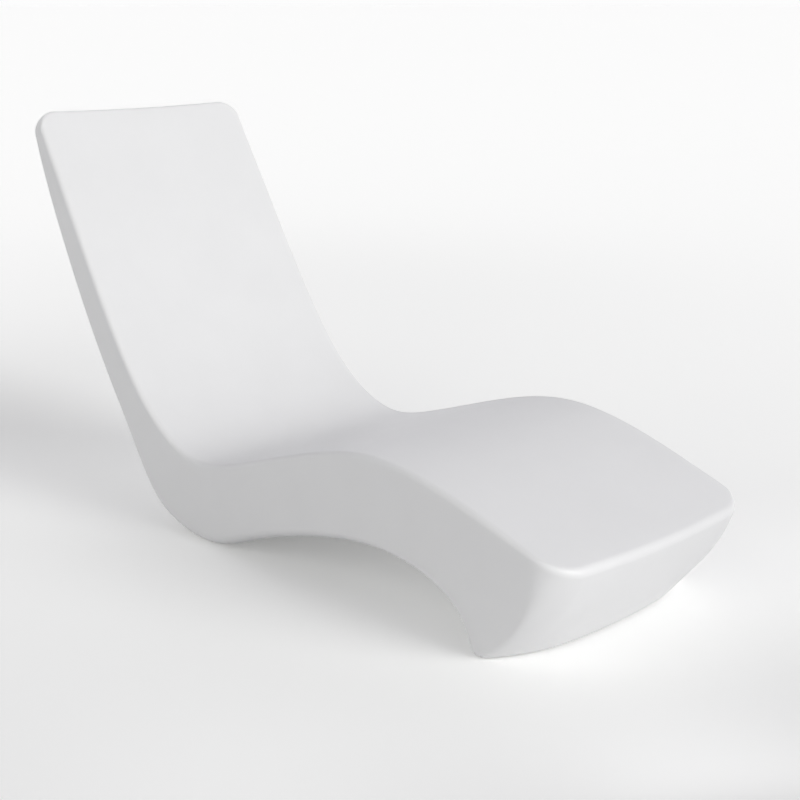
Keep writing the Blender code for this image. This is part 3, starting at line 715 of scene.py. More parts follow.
@dataclass
class Shell:
    """The one-piece moulded shell: a closed side outline carried across the width.

    Its two sides are rounded over, its lip, foot and top are drawn in round their corners, and recesses for
    the plugs and the glides are cut into it.
    """

    length: float = 1.769
    width: float = 0.65
    height: float = 0.971
    stand: float = 0.003
    lip_radius: float = 0.018
    foot_front_radius: float = 0.022
    foot_inner_radius: float = 0.014
    top_rear_radius: float = 0.012
    top_front_radius: float = 0.012
    seat_edge: float = 0.013
    sole_edge: float = 0.008
    heel_edge: float = 0.026
    crown_edge: float = 0.008
    end_edge: float = 0.011
    end_edge_reach: float = 0.12
    heel_from_share: float = 0.30
    heel_to_share: float = 0.62
    lip_corner: float = 0.072
    foot_corner: float = 0.160
    foot_corner_depth: float = 0.042
    foot_side_rounding: float = 0.008
    wall_fullness: float = 1.6
    corner_reach: float = 0.160
    fitting_reach: float = 0.110
    top_corner: float = 0.055
    lip_bow: float = 0.016
    foot_bow: float = 0.032
    top_hollow: float = 0.006
    side_bow: float = 0.014
    back_bow: float = 0.020
    hollow: float = 0.004
    widest_share: float = 0.43
    front_reach_share: float = 0.14
    top_reach_share: float = 0.10
    hollow_fade_share: float = 0.12
    steps: dict[str, int] = field(
        default_factory=lambda: {
            "spline": 160,
            "wall": 24,
            "front": 14,
            "sole": 10,
            "inner": 12,
            "under": 168,
            "lip": 12,
            "top": 2,
            "corner": 44,
            "middle": 18,
            "side": 18,
        }
    )
    nearness_share: float = 0.002
    evenness_share: float = 0.20
    seat_shares: tuple = (
        (0.017, 1.000),
        (0.106, 0.727),
        (0.201, 0.449),
        (0.263, 0.311),
        (0.316, 0.239),
        (0.374, 0.205),
        (0.453, 0.229),
        (0.556, 0.291),
        (0.642, 0.337),
        (0.710, 0.354),
        (0.798, 0.337),
        (0.894, 0.288),
        (1.000, 0.220),
    )
    wall_shares: tuple = ((1.000, 0.220), (0.971, 0.110), (0.931, 0.000))
    sole_shares: tuple = ((0.931, 0.000), (0.871, 0.000))
    under_shares: tuple = (
        (0.871, 0.000),
        (0.852, 0.069),
        (0.820, 0.113),
        (0.772, 0.141),
        (0.715, 0.149),
        (0.641, 0.133),
        (0.568, 0.100),
        (0.489, 0.053),
        (0.431, 0.013),
        (0.384, 0.000),
        (0.337, 0.010),
        (0.289, 0.044),
        (0.250, 0.113),
        (0.214, 0.211),
        (0.175, 0.317),
        (0.131, 0.446),
        (0.071, 0.657),
        (0.025, 0.849),
        (0.000, 0.985),
    )
    top_shares: tuple = ((0.000, 0.985), (0.017, 1.000))
    lower_pair_shares: tuple = (0.00, 0.10, 0.15, 0.27, 0.51, 0.66, 0.75, 1.00)
    seat_pair_shares: tuple = (0.00, 0.06, 0.11, 0.25, 0.53, 0.70, 0.78, 1.00)

    def __post_init__(self) -> None:
        """Works out the side outline's runs, roundings and places."""
        steps = self.steps
        self.seat = self.run(self.seat_shares)
        self.wall = self.run(self.wall_shares)
        self.sole = self.run(self.sole_shares)
        self.under = self.run(self.under_shares)
        self.top = self.run(self.top_shares)
        self.lip_arc = round_corner(self.seat, self.wall, self.lip_radius, steps["lip"])
        self.front_arc = round_corner(self.wall, self.sole, self.foot_front_radius, steps["front"])
        self.inner_arc = round_corner(self.sole, self.under, self.foot_inner_radius, steps["inner"])
        self.rear_arc = round_corner(self.under, self.top, self.top_rear_radius, steps["lip"])
        self.crown_arc = round_corner(self.top, self.seat, self.top_front_radius, steps["lip"])
        self.wall_places = self.places(self.wall, "wall")
        self.sole_places = self.places(self.sole, "sole")
        self.under_places = self.places(self.under, "under")
        self.top_places = self.places(self.top, "top")
        self.seat_places = self.paired_seat_places()
        self.middle = (self.lip_arc[:, 0].max() + self.rear_arc[:, 0].min()) / 2

    def run(self, shares: tuple) -> Run:
        """The run through points given as shares of the chair's length and height.

        Args:
            shares: The points, along the chair from the top and up from the floor, from 0 to 1.

        Returns:
            The run, in metres from the middle of the length and from the floor.
        """
        knots = np.array(shares)
        along = (knots[:, 0] - 0.5) * self.length
        above = self.stand + knots[:, 1] * (self.height - self.stand)
        return Run(np.stack((along, above), axis=1), self.steps["spline"], self.nearness_share)

    def places(self, run: Run, name: str) -> Array:
        """Places along a run, as many as its own step count says."""
        return run.spread(self.steps[name], self.evenness_share, self.length)

    def paired_seat_places(self) -> Array:
        """Places along the seat that lie across from the points of the lower line.

        Returns:
            The lengths along the seat, one for each point from the wall's to the underside's.
        """
        parts = (self.wall.at(self.wall_places), self.front_arc, self.sole.at(self.sole_places))
        line = np.concatenate(parts + (self.inner_arc, self.under.at(self.under_places)))
        length = lengths_along(line)
        share = np.interp(length / length[-1], self.lower_pair_shares, self.seat_pair_shares)[::-1]
        return self.seat.start + (1 - share) * (self.seat.end - self.seat.start)

    def half_width(self, x: Array) -> Array:
        """Half the width at a place along the chair: the most, less a bow times the share's square."""
        share = (x / self.length + 0.5 - self.widest_share) / 0.5
        return self.width / 2 - np.where(share < 0, self.back_bow, self.side_bow) * share**2

    def pulls(self, distance: Array, across: Array) -> tuple[Array, Array, Array]:
        """How far the lip, the foot and the top are drawn in at distances from the side.

        Args:
            distance: The distances from the side.
            across: The place across the chair, 0 in its middle and 1 at its side.

        Returns:
            The three lengths. Each is a bow by the square of the place and a corner's rounding. The foot's
            corner is a wide cut instead, its depth by the square of what is left of its reach.
        """
        lip = self.lip_bow * across**2 + round_over(self.lip_corner, distance)
        cut = np.clip(1 - distance / self.foot_corner, 0.0, 1.0) ** 2
        foot = self.foot_bow * across**2 + self.foot_corner_depth * cut
        top = self.top_hollow * (1 - across**2) + round_over(self.top_corner, distance)
        return lip, foot + round_over(self.foot_side_rounding, distance), top

    def slices(self, lip: Array, foot: Array, top: Array) -> Array:
        """The side outline of every slice, with its lip, foot and top drawn in by its own lengths.

        Args:
            lip: How far the lip is drawn in, for each slice.
            foot: The same for the foot.
            top: The same for the top.

        Returns:
            Places along and above the floor, in rows of slices. A run's points slide along it, and a
            rounding moves as a whole along the run that it ends. The wall takes the lip's and the foot's
            lengths by the way left from each to the power of its fullness.
        """
        seat, wall, under, upper = self.seat, self.wall, self.under, self.top
        lip, foot, top = lip[:, None], foot[:, None], top[:, None]
        from_lip = ease(1 - (seat.end - self.seat_places) / (self.front_reach_share * self.length))
        from_top = ease(1 - (self.seat_places - seat.start) / (self.top_reach_share * self.length))
        rear_top = ease(1 - (under.end - self.under_places) / (self.top_reach_share * self.length))
        lip_shift = lip[..., None] * -seat.direction(seat.end)
        foot_shift = foot[..., None] * np.array((-1.0, 0.0))
        down_front = top[..., None] * seat.direction(seat.start)
        down_rear = top[..., None] * -under.direction(under.end)
        down_wall = ((self.wall_places - wall.start) / (wall.end - wall.start))[None, :, None]
        along_sole = (self.sole.end - self.sole_places) / (self.sole.end - self.sole.start)
        over_top = ((self.top_places - upper.start) / (upper.end - upper.start))[None, :, None]
        held = np.zeros_like(foot_shift)
        full = self.wall_fullness
        parts = (
            seat.at(self.seat_places - lip * from_lip + top * from_top),
            self.lip_arc + lip_shift,
            wall.at(self.wall_places) + (1 - down_wall) ** full * lip_shift + down_wall**full * foot_shift,
            self.front_arc + foot_shift,
            self.sole.at(self.sole_places) + along_sole[None, :, None] * foot_shift,
            self.inner_arc + held,
            under.at(self.under_places - top * rear_top),
            self.rear_arc + down_rear,
            upper.at(self.top_places) + (1 - over_top) * down_rear + over_top * down_front,
            self.crown_arc + down_front,
        )
        return np.concatenate(parts, axis=1) - (self.middle, 0.0)

    def edge_radii(self) -> Array:
        """The rounding along the side at each point of the outline.

        Returns:
            The radii, in the outline's order. They ease from one named edge to the next, and fall as a cosine
            does round the lip and the top.
        """
        falling = np.cos(np.linspace(0.0, math.pi / 2, len(self.lip_arc) + 2))[1:-1]
        from_foot = self.under_places / self.under.length
        grown = ease(from_foot / self.heel_from_share)
        shrunk = ease((from_foot - self.heel_to_share) / (1 - self.heel_to_share))
        under = self.sole_edge + (self.heel_edge - self.sole_edge) * grown
        under += (self.crown_edge - self.heel_edge) * shrunk
        from_end = np.minimum(self.seat_places - self.seat.start, self.seat.end - self.seat_places)
        near_end = ease(1 - from_end / self.end_edge_reach)
        parts = (
            self.seat_edge + (self.end_edge - self.seat_edge) * near_end,
            self.end_edge * falling,
            np.zeros(len(self.wall_places)),
            np.linspace(0.0, self.sole_edge, len(self.front_arc) + 2)[1:-1],
            np.full(len(self.sole_places) + len(self.inner_arc), self.sole_edge),
            under,
            self.crown_edge * falling,
            np.zeros(len(self.top_places)),
            self.end_edge * falling[::-1],
        )
        return np.concatenate(parts)

    def hollows(self, count: int) -> Array:
        """How far the seat's middle lies below its edges.

        Args:
            count: How many points the outline has.

        Returns:
            A depth for each point: the hollow times an ease from both ends of the seat, and 0 off the seat.
        """
        share = (self.seat_places - self.seat.start) / (self.seat.end - self.seat.start)
        fade = ease(share / self.hollow_fade_share) * ease((1 - share) / self.hollow_fade_share)
        return np.concatenate((self.hollow * fade, np.zeros(count - len(fade))))

    def rows(self) -> Array:
        """The points of every slice from the +Y side to the -Y side.

        Returns:
            Places in rows of slices. A slice is the side outline moved along its inward normals by the
            side's rounding and the seat's hollow, at a distance from the side that grows as a cosine does
            round the corners and evenly across the middle.
        """
        turn = np.linspace(math.pi / 2, 0.0, self.steps["corner"] + 1)
        corner = self.corner_reach * (1 - np.sin(turn))
        middle = np.linspace(0.0, 1.0, self.steps["middle"] + 1)[1:]
        distance = np.concatenate((corner, np.full(len(middle), self.corner_reach)))
        share = np.concatenate((np.zeros(len(corner)), middle))
        across = (1 - share) * (1 - distance / (self.width / 2))
        outlines = self.slices(*self.pulls(distance, across))
        radii = self.edge_radii()
        depth = round_over(radii, distance[:, None]) + self.hollows(len(radii)) * (1 - across**2)[:, None]
        heading = np.roll(outlines, -1, axis=1) - np.roll(outlines, 1, axis=1)
        heading /= np.linalg.norm(heading, axis=2)[..., None]
        inward = np.stack((heading[..., 1], -heading[..., 0]), axis=-1)
        outlines = outlines + depth[..., None] * inward
        y = (self.half_width(outlines[..., 0]) - distance[:, None]) * (1 - share)[:, None]
        half = np.stack((outlines[..., 0], y, outlines[..., 1]), axis=-1)
        return np.concatenate((half, half[-2::-1] * (1, -1, 1)))

    def side(self, row: Array, sign: int, base: int, first: int) -> tuple[Array, list[Array]]:
        """The flat-lying face that closes one side, between its seat line and its lower line.

        Args:
            row: The points of the last slice on that side.
            sign: 1 for the +Y side and -1 for the other.
            base: The index of the slice's first point.
            first: The index of the first new point.

        Returns:
            New points, at even shares of the way from a seat point to the lower point across from it, and
            the faces among them. Their Y is the chair's half width there.
        """
        seats = len(self.seat_places)
        lower = seats + len(self.lip_arc)
        lower_end = lower + seats - 1
        count = self.steps["side"] - 1
        share = np.linspace(0.0, 1.0, count + 2)[1:-1, None]
        high, low = row[:seats, None], row[lower_end - np.arange(seats), None]
        points = high + (low - high) * share
        points[..., 1] = sign * self.half_width(points[..., 0])
        inner = first + np.arange(seats * count).reshape(seats, count)
        ends = base + np.arange(seats)[:, None], base + lower_end - np.arange(seats)[:, None]
        columns = np.concatenate((ends[0], inner, ends[1]), axis=1)
        nose = np.concatenate((base + np.arange(seats - 1, lower + 1), columns[-1, -2:0:-1]))
        crown = np.concatenate((base + np.arange(lower_end, len(row)), (base,), columns[0, 1:-1]))
        return points.reshape(-1, 3), [grid_faces(columns), nose[None], crown[None]]

    def surface(self) -> Surface:
        """The closed outer skin of the shell, before its recesses.

        Returns:
            The slices joined to each other, with both sides closed.
        """
        rows = self.rows()
        count, ring = rows.shape[:2]
        indices = np.arange(count * ring).reshape(count, ring)
        faces = [grid_faces(np.concatenate((indices, indices[:, :1]), axis=1))]
        points = [rows.reshape(-1, 3)]
        total = count * ring
        for row, sign, base in ((rows[0], 1, 0), (rows[-1], -1, total - ring)):
            more, sides = self.side(row, sign, base, sum(len(block) for block in points))
            points.append(more)
            faces += sides
        return Surface(np.concatenate(points), faces)

    def relief(self, matrix: Matrix) -> tuple[Array, Array]:
        """The lower line as seen from a fitting's own frame, to set a recess's rim on the skin.

        Args:
            matrix: The fitting's frame, whose X axis lies along the chair's middle plane.

        Returns:
            Places along the frame's X axis near the fitting, rising, and the skin's height there.
        """
        parts = (self.sole.points, self.under.points)
        line = np.concatenate(parts) - (self.middle, 0.0)
        places = np.stack((line[:, 0], np.zeros(len(line)), line[:, 1]), axis=1)
        own = np.array(matrix.to_3x3()).T @ (places - np.array(matrix.translation) * (1, 0, 1)).T
        near = np.hypot(own[0], own[2]) < self.fitting_reach
        order = np.argsort(own[0][near])
        return own[0][near][order], own[2][near][order]

    def skin_round(self, matrix: Matrix, radius: float, columns: int) -> Array:
        """The skin's height round a circle about a fitting's axis.

        Args:
            matrix: The fitting's frame.
            radius: The circle's radius.
            columns: How many steps the circle is cut into.

        Returns:
            The height at each step, in the fitting's own frame.
        """
        along, height = self.relief(matrix)
        return np.interp(radius * np.cos(full_turn(columns)), along, height)

    def build(self, cutters: list[Thing]) -> Thing:
        """Makes the shell, cuts the fittings' recesses into it and dresses it.

        Args:
            cutters: The shapes of the recesses.

        Returns:
            The finished piece.
        """
        piece = self.surface().piece("shell_skin")
        carve(piece, cutters)
        smooth(piece.data)
        dress(piece, SHELL_FINISH, Body.CHAIR, "shell")
        return piece


@dataclass
class PlugFitting:
    """A ballast plug in its recess: the bush in the shell, the sealing ring and the slotted screw plug."""

    name: str
    ring_body: Body
    screw_body: Body
    matrix: Matrix
    recess_radius: float = 0.030
    recess_depth: float = 0.010
    rim_radius: float = 0.003
    floor_radius: float = 0.004
    gap: float = 0.0003
    bush_radius: float = 0.019
    bush_length: float = 0.022
    bore_radius: float = 0.0135
    thread_depth: float = 0.0008
    pitch: float = 0.0025
    shank_radius: float = 0.0129
    shank_length: float = 0.013
    seal_radius: float = 0.0175
    seal_thickness: float = 0.0025
    head_radius: float = 0.0185
    head_thickness: float = 0.005
    head_rounding: float = 0.0012
    slot_width: float = 0.004
    slot_depth: float = 0.0025
    slot_rounding: float = 0.0008
    flute_depth: float = 0.0006
    flutes: int = 24
    ridge_fullness: float = 1.4
    seal_squareness: float = 0.5
    columns: int = 96
    bore_rows: int = 150
    shank_rows: int = 110
    seal_steps: int = 40
    edge_steps: int = 6
    rim_steps: int = 8

    def cutter(self, shell: Shell) -> Thing:
        """The room that the fitting takes out of the shell, flared where it meets the skin.

        Args:
            shell: The shell, whose skin the flare follows.

        Returns:
            The closed cutter. Its rows of rim points rise and fall round the turn as the skin does.
        """
        pocket = self.bush_radius + self.gap
        inside = np.array(((0.0, -self.bush_length), (pocket, -self.bush_length), (pocket, 0.0)))
        corner = (self.recess_radius - self.floor_radius, self.floor_radius)
        floor = arc(corner, self.floor_radius, -90, 0, self.edge_steps)
        flare = self.recess_radius + self.rim_radius
        skin = shell.skin_round(self.matrix, flare, self.columns)
        rim = arc((flare, -self.rim_radius * RIM_CROSSING), self.rim_radius, 180, 90, self.rim_steps)
        fixed = np.concatenate((inside, floor))
        radii = np.concatenate((fixed[1:, 0], rim[:, 0], (flare + self.gap,)))
        heights = np.concatenate((fixed[1:, 1], rim[:, 1], (self.recess_depth,)))
        follows = np.concatenate((np.zeros(len(fixed) - 1), np.ones(len(rim)), (1.0,)))
        end = 2 * self.recess_depth + skin.max()
        profile = np.concatenate((((0.0, fixed[0, 1]),), np.stack((radii, heights), axis=1), ((0.0, end),)))
        surface = turned(profile, self.columns).lifted(follows[:, None] * skin)
        return surface.placed(self.matrix).piece(self.name + "_room")

    def thread(self, radius: Array, height: Array, fade: Array) -> Array:
        """Radii of a right-hand thread: the radius plus a rounded ridge of height over pitch less the turn.

        Args:
            radius: The radius of each row without the thread.
            height: The height of each row.
            fade: How much of the ridge each row has, from 0 to 1.

        Returns:
            A radius for each row and column.
        """
        turn = np.linspace(0.0, 1.0, self.columns, endpoint=False)
        wave = 0.5 + 0.5 * np.cos(2 * math.pi * (height[:, None] / self.pitch - turn))
        ridge = self.thread_depth * fade[:, None] * np.minimum(self.ridge_fullness * wave, 1.0)
        return radius[:, None] + ridge

    def bush(self) -> Thing:
        """The bush: a threaded bore with a chamfered mouth in a plain sleeve.

        Returns:
            The piece, in its place.
        """
        bore = self.bore_radius
        mouth = self.head_rounding
        outer = ((bore + mouth, 0.0), (self.bush_radius - self.gap, 0.0), (self.bush_radius, -self.gap))
        sleeve = np.array((*outer, (self.bush_radius, -self.bush_length)))
        climb = np.linspace(-self.bush_length, -mouth, self.bore_rows)
        threaded = np.stack((np.full(len(climb), bore), climb), axis=1)
        profile = np.concatenate((sleeve, threaded))
        fade = np.concatenate((np.zeros(len(sleeve)), ease((-mouth - climb) / self.pitch)))
        radii = self.thread(profile[:, 0], profile[:, 1], fade)
        return turned(profile, self.columns, True, radii).placed(self.matrix).piece(self.name + "_bush_fine")

    def seal(self) -> Thing:
        """The sealing ring: a flat ring with well rounded edges.

        Its section is a circle with the cosine and the sine each raised to the squareness, their signs kept.

        Returns:
            The piece, in its place.
        """
        inner = self.shank_radius + self.gap
        middle = (inner + self.seal_radius) / 2
        half = (self.seal_radius - inner) / 2
        turn = full_turn(self.seal_steps)
        level = self.gap + self.seal_thickness / 2
        flat = np.stack((np.cos(turn), np.sin(turn)), axis=1)
        squared = np.sign(flat) * np.abs(flat) ** self.seal_squareness
        profile = squared * (half, self.seal_thickness / 2) + (middle, level)
        return turned(profile, self.columns, True).placed(self.matrix).piece(self.name + "_seal_fine")

    def plug(self) -> Thing:
        """The screw plug: a threaded shank under a fluted head with a ring groove and a coin slot.

        A flute's depth goes as the square of half of 1 plus the cosine of the turn times their number.

        Returns:
            The piece, in its place.
        """
        low = self.gap + self.seal_thickness + self.gap
        top = low + self.head_thickness
        rounding = self.head_rounding
        climb = np.linspace(rounding - self.shank_length, low - self.pitch / 2, self.shank_rows)
        core = self.shank_radius - self.thread_depth
        shank = np.stack((np.full(len(climb), core), climb), axis=1)
        foot = ((0.0, -self.shank_length), (core - rounding, -self.shank_length))
        under = arc((self.head_radius - rounding, low + rounding), rounding, -90, 0, self.edge_steps)
        over = arc((self.head_radius - rounding, top - rounding), rounding, 0, 90, self.edge_steps)
        groove = arc((self.seal_radius - 2 * rounding, top), rounding / 2, 0, -180, self.rim_steps)
        profile = np.concatenate((foot, shank, ((core, low),), under, over, groove, ((0.0, top),)))
        rows = profile[1:-1]
        before = np.zeros(len(foot) - 1)
        after = np.zeros(len(rows) - len(climb) - len(before))
        fade = ease((climb - climb[0]) / self.pitch) * ease((climb[-1] - climb) / self.pitch)
        radii = self.thread(rows[:, 0], rows[:, 1], np.concatenate((before, fade, after)))
        turn = full_turn(self.columns)
        grip = ease((rows[:, 0] - self.head_radius + rounding) / rounding)[:, None]
        radii = radii - self.flute_depth * grip * (0.5 + 0.5 * np.cos(self.flutes * turn)) ** 2
        surface = turned(profile, self.columns, False, radii).placed(self.matrix)
        piece = surface.piece(self.name + "_plug_fine")
        sides = (2 * self.head_radius + rounding, self.slot_width, 2 * self.slot_depth)
        place = self.matrix @ Matrix.Translation((0, 0, top))
        carve(piece, [box_cutter(self.name + "_slot", sides, self.slot_rounding, place)])
        return piece

    def build(self, shell: Shell) -> Thing:
        """Makes and dresses the fitting's pieces.

        Args:
            shell: The shell that the fitting sits in.

        Returns:
            The cutter of its room in the shell.
        """
        dress(self.bush(), BUSH_FINISH, Body.CHAIR, self.name + "_bush")
        dress(self.seal(), SEAL_FINISH, self.ring_body, self.name + "_seal")
        dress(self.plug(), PLUG_FINISH, self.screw_body, self.name + "_plug")
        return self.cutter(shell)


@dataclass
class GlideFitting:
    """A glide let into the shell's underside, with the washer, the screw and the insert that hold it."""

    place_name: str
    centre: tuple[float, float]
    proud: float = 0.003
    recess: float = 0.005
    radius: float = 0.020
    rounding: float = 0.002
    web: float = 0.0025
    gap: float = 0.0003
    rim_radius: float = 0.001
    groove_radius: float = 0.0005
    screw_radius: float = 0.003
    screw_length: float = 0.016
    screw_pitch: float = 0.001
    screw_depth: float = 0.0006
    head_radius: float = 0.0055
    head_height: float = 0.0025
    socket_radius: float = 0.0023
    socket_depth: float = 0.0016
    washer_radius: float = 0.0075
    washer_thickness: float = 0.0012
    washer_edge: float = 0.0003
    insert_radius: float = 0.0055
    insert_groove: float = 0.0008
    insert_length: float = 0.018
    insert_end: float = 0.002
    knurl_depth: float = 0.0002
    knurls: int = 28
    socket_sides: int = 6
    columns: int = 96
    washer_columns: int = 64
    screw_columns: int = 48
    thread_rows: int = 140
    knurl_rows: int = 24
    rim_steps: int = 6
    groove_steps: int = 8
    fine_steps: int = 4

    def matrix(self) -> Matrix:
        """The fitting's frame: its middle on the floor."""
        return Matrix.Translation((*self.centre, 0.0))

    def levels(self) -> tuple[float, float, float, float]:
        """The heights that the fitting's pieces lie at.

        Returns:
            The recess's roof, and the undersides of the web, the washer and the screw's head.
        """
        roof = self.proud + self.recess
        web = roof - self.gap - self.web
        washer = web - self.gap - self.washer_thickness
        return roof, web, washer, washer - self.gap - self.head_height

    def cutter(self, shell: Shell) -> Thing:
        """The room that the glide and its insert take out of the shell, with a small rounded rim.

        Args:
            shell: The shell, whose skin the rim follows.

        Returns:
            The closed cutter.
        """
        roof = self.levels()[0]
        wide = self.radius + self.gap
        hole = self.insert_radius + self.gap
        flare = wide + self.rim_radius
        skin = shell.skin_round(self.matrix(), flare, self.columns)
        rim = arc((flare, self.rim_radius * RIM_CROSSING), self.rim_radius, 270, 180, self.rim_steps)
        low = -self.radius
        top = roof + self.insert_length
        inside = np.array(((wide, roof), (hole, roof), (hole, top)))
        radii = np.concatenate(((flare + self.gap,), rim[:, 0], inside[:, 0]))
        heights = np.concatenate(((-self.rim_radius,), rim[:, 1], inside[:, 1]))
        follows = np.concatenate(((1.0,), np.ones(len(rim)), np.zeros(len(inside))))
        profile = np.concatenate((((0.0, low),), np.stack((radii, heights), axis=1), ((0.0, top),)))
        surface = turned(profile, self.columns).lifted(follows[:, None] * skin)
        return surface.placed(self.matrix()).piece("room_" + self.place_name)

    def glide(self) -> Thing:
        """The glide: a rubber disc, counterbored for its washer, with two grip grooves in its face.

        Returns:
            The piece, in its place.
        """
        roof, web, _, _ = self.levels()
        top = roof - self.gap
        hole = self.screw_radius + self.gap
        sunk = self.washer_radius + self.gap
        groove = self.groove_radius
        rounding = self.rounding
        first = sunk + (self.radius - sunk) / 3
        second = sunk + 2 * (self.radius - sunk) / 3
        parts = (
            ((hole, top), (hole, web), (sunk, web), (sunk, groove)),
            arc((sunk + groove, groove), groove, 180, 270, self.fine_steps),
            arc((first, 0.0), groove, 180, 0, self.groove_steps),
            arc((second, 0.0), groove, 180, 0, self.groove_steps),
            arc((self.radius - rounding, rounding), rounding, 270, 360, self.groove_steps),
            arc((self.radius - groove, top - groove), groove, 0, 90, self.fine_steps),
        )
        profile = np.concatenate([np.array(part) for part in parts])
        name = f"glide_{self.place_name}_fine"
        return turned(profile, self.columns, True).placed(self.matrix()).piece(name)

    def washer(self) -> Thing:
        """The washer: a flat ring with rounded rims.

        Returns:
            The piece, in its place.
        """
        _, web, low, _ = self.levels()
        top = web - self.gap
        hole = self.screw_radius + self.gap
        edge, steps = self.washer_edge, self.fine_steps
        parts = (
            arc((hole + edge, top - edge), edge, 90, 180, steps),
            arc((hole + edge, low + edge), edge, 180, 270, steps),
            arc((self.washer_radius - edge, low + edge), edge, 270, 360, steps),
            arc((self.washer_radius - edge, top - edge), edge, 0, 90, steps),
        )
        name = f"washer_{self.place_name}_fine"
        return turned(np.concatenate(parts), self.washer_columns, True).placed(self.matrix()).piece(name)

    def screw(self) -> Thing:
        """The screw: a low rounded head with a six-sided socket, and a right-hand thread.

        The thread rises and falls evenly once as the height over the pitch, less the turn, grows by 1.

        Returns:
            The piece, in its place.
        """
        _, _, washer, low = self.levels()
        top = washer - self.gap
        edge = self.head_height / 3
        tip = top + self.screw_length
        core = self.screw_radius - self.screw_depth
        climb = np.linspace(top + edge, tip - edge, self.thread_rows)
        small = edge / 3
        lower = arc((self.head_radius - edge, low + edge), edge, 270, 360, self.rim_steps)
        upper = arc((self.head_radius - small, top - small), small, 0, 90, self.rim_steps // 2)
        head = np.concatenate((lower, upper))
        shank = np.stack((np.full(len(climb), core), climb), axis=1)
        end = ((core - edge / 2, tip),)
        profile = np.concatenate((((0.0, low),), head, ((core, top),), shank, end, ((0.0, tip),)))
        rows = profile[1:-1]
        turn = np.linspace(0.0, 1.0, self.screw_columns, endpoint=False)
        wave = 1 - np.abs(2 * ((rows[:, 1:] / self.screw_pitch - turn) % 1.0) - 1)
        fade = ease((rows[:, 1] - top) / self.screw_pitch) * ease((tip - rows[:, 1]) / self.screw_pitch)
        fade = np.where(rows[:, 0] > core, 0.0, fade)
        radii = rows[:, :1] + self.screw_depth * fade[:, None] * wave
        name = f"screw_{self.place_name}_fine"
        piece = turned(profile, len(turn), False, radii).placed(self.matrix()).piece(name)
        wide, deep = self.socket_radius, self.socket_depth
        socket = turned(np.array(((0.0, -deep), (wide, -deep), (wide, deep), (0.0, deep))), self.socket_sides)
        place = Matrix.Translation((*self.centre, low))
        carve(piece, [socket.placed(place).piece("socket_" + self.place_name)])
        return piece

    def insert(self) -> Thing:
        """The insert: a blind knurled sleeve with a waist.

        The knurl is the mean of two sets of ridges, each the size of a cosine of the turn, slanted both ways.

        Returns:
            The piece, in its place.
        """
        roof = self.levels()[0]
        waist = self.insert_radius - self.insert_groove
        bore = self.screw_radius + self.gap
        bore_top = self.insert_length - self.insert_end
        edge = self.insert_groove / 2
        third = self.insert_length / 3
        rise = np.array((0.0, edge, third - edge, third, third + edge))
        climb = np.linspace(edge, third - edge, self.knurl_rows)
        lower = np.stack((np.full(len(climb), self.insert_radius), climb), axis=1)
        upper = lower + (0.0, 2 * third)
        neck = np.array(((waist, rise[3]), (waist, 2 * third)))
        outside = np.concatenate((((self.insert_radius - edge, 0.0),), lower, neck, upper))
        ends = ((self.insert_radius - edge, self.insert_length), (0.0, self.insert_length))
        inside = np.array(((0.0, bore_top), (bore, bore_top), (bore, 0.0)))
        rows = np.concatenate((inside[1:], outside, ends[:1]))
        profile = np.concatenate((inside[:1], rows, ends[1:]))
        turn = full_turn(self.columns)
        rough = (rows[:, :1] >= self.insert_radius) * self.knurl_depth
        across = self.knurls / 2 * turn
        slant = rows[:, 1:] / self.insert_radius * self.knurls / 2
        cross = np.abs(np.cos(across + slant)) + np.abs(np.cos(across - slant))
        radii = rows[:, :1] - rough * (1 - cross / 2)
        surface = turned(profile, self.columns, False, radii)
        matrix = Matrix.Translation((*self.centre, roof))
        return surface.placed(matrix).piece(f"insert_{self.place_name}_fine")

    def build(self, shell: Shell) -> Thing:
        """Makes and dresses the fitting's pieces.

        Args:
            shell: The shell that the fitting sits in.

        Returns:
            The cutter of its room in the shell.
        """
        dress(self.glide(), GLIDE_FINISH, Body.CHAIR, "glide_" + self.place_name)
        dress(self.washer(), STEEL_FINISH, Body.CHAIR, "washer_" + self.place_name)
        dress(self.screw(), STEEL_FINISH, Body.CHAIR, "screw_" + self.place_name)
        dress(self.insert(), BRASS_FINISH, Body.CHAIR, "insert_" + self.place_name)
        return self.cutter(shell)


@dataclass(frozen=True)
class Lamp:
    """A broad far lamp that shines from an azimuth and an elevation, 0 azimuth being ahead of the feet."""

    name: str
    azimuth: float
    elevation: float
    strength: float
    spread: float = 40.0
    color: Triple = (1.0, 1.0, 1.0)

    def build(self) -> None:
        """Hangs the lamp. Its spread is the angle that it fills as seen from the chair."""
        turn, rise = math.radians(self.azimuth), math.radians(self.elevation)
        away = Vector((math.cos(turn) * math.cos(rise), math.sin(turn) * math.cos(rise), math.sin(rise)))
        data = bpy.data.lights.new(self.name, "SUN")
        data.energy = self.strength
        data.angle = math.radians(self.spread)
        data.color = self.color
        facing(self.name, data, away)


@dataclass(frozen=True)
class Panel:
    """A small soft lamp close to the chair, which the camera doesn't see."""

    name: str
    place: Triple
    aim: Triple
    side: float
    power: float
    color: Triple = (1.0, 1.0, 1.0)

    def build(self) -> None:
        """Stands the lamp in its place, turned towards its aim."""
        data = bpy.data.lights.new(self.name, "AREA")
        data.energy = self.power
        data.size = self.side
        data.color = self.color
        lamp = facing(self.name, data, Vector(self.place) - Vector(self.aim))
        lamp.location = self.place
        lamp.visible_camera = False


@dataclass(frozen=True)
class PaintedLightShadePatch:
    """A soft round painted pool of light on the floor that the camera sees, and a painted shadow where its
    strength is below 0.
    """

    centre: tuple[float, float]
    radius: float
    strength: float


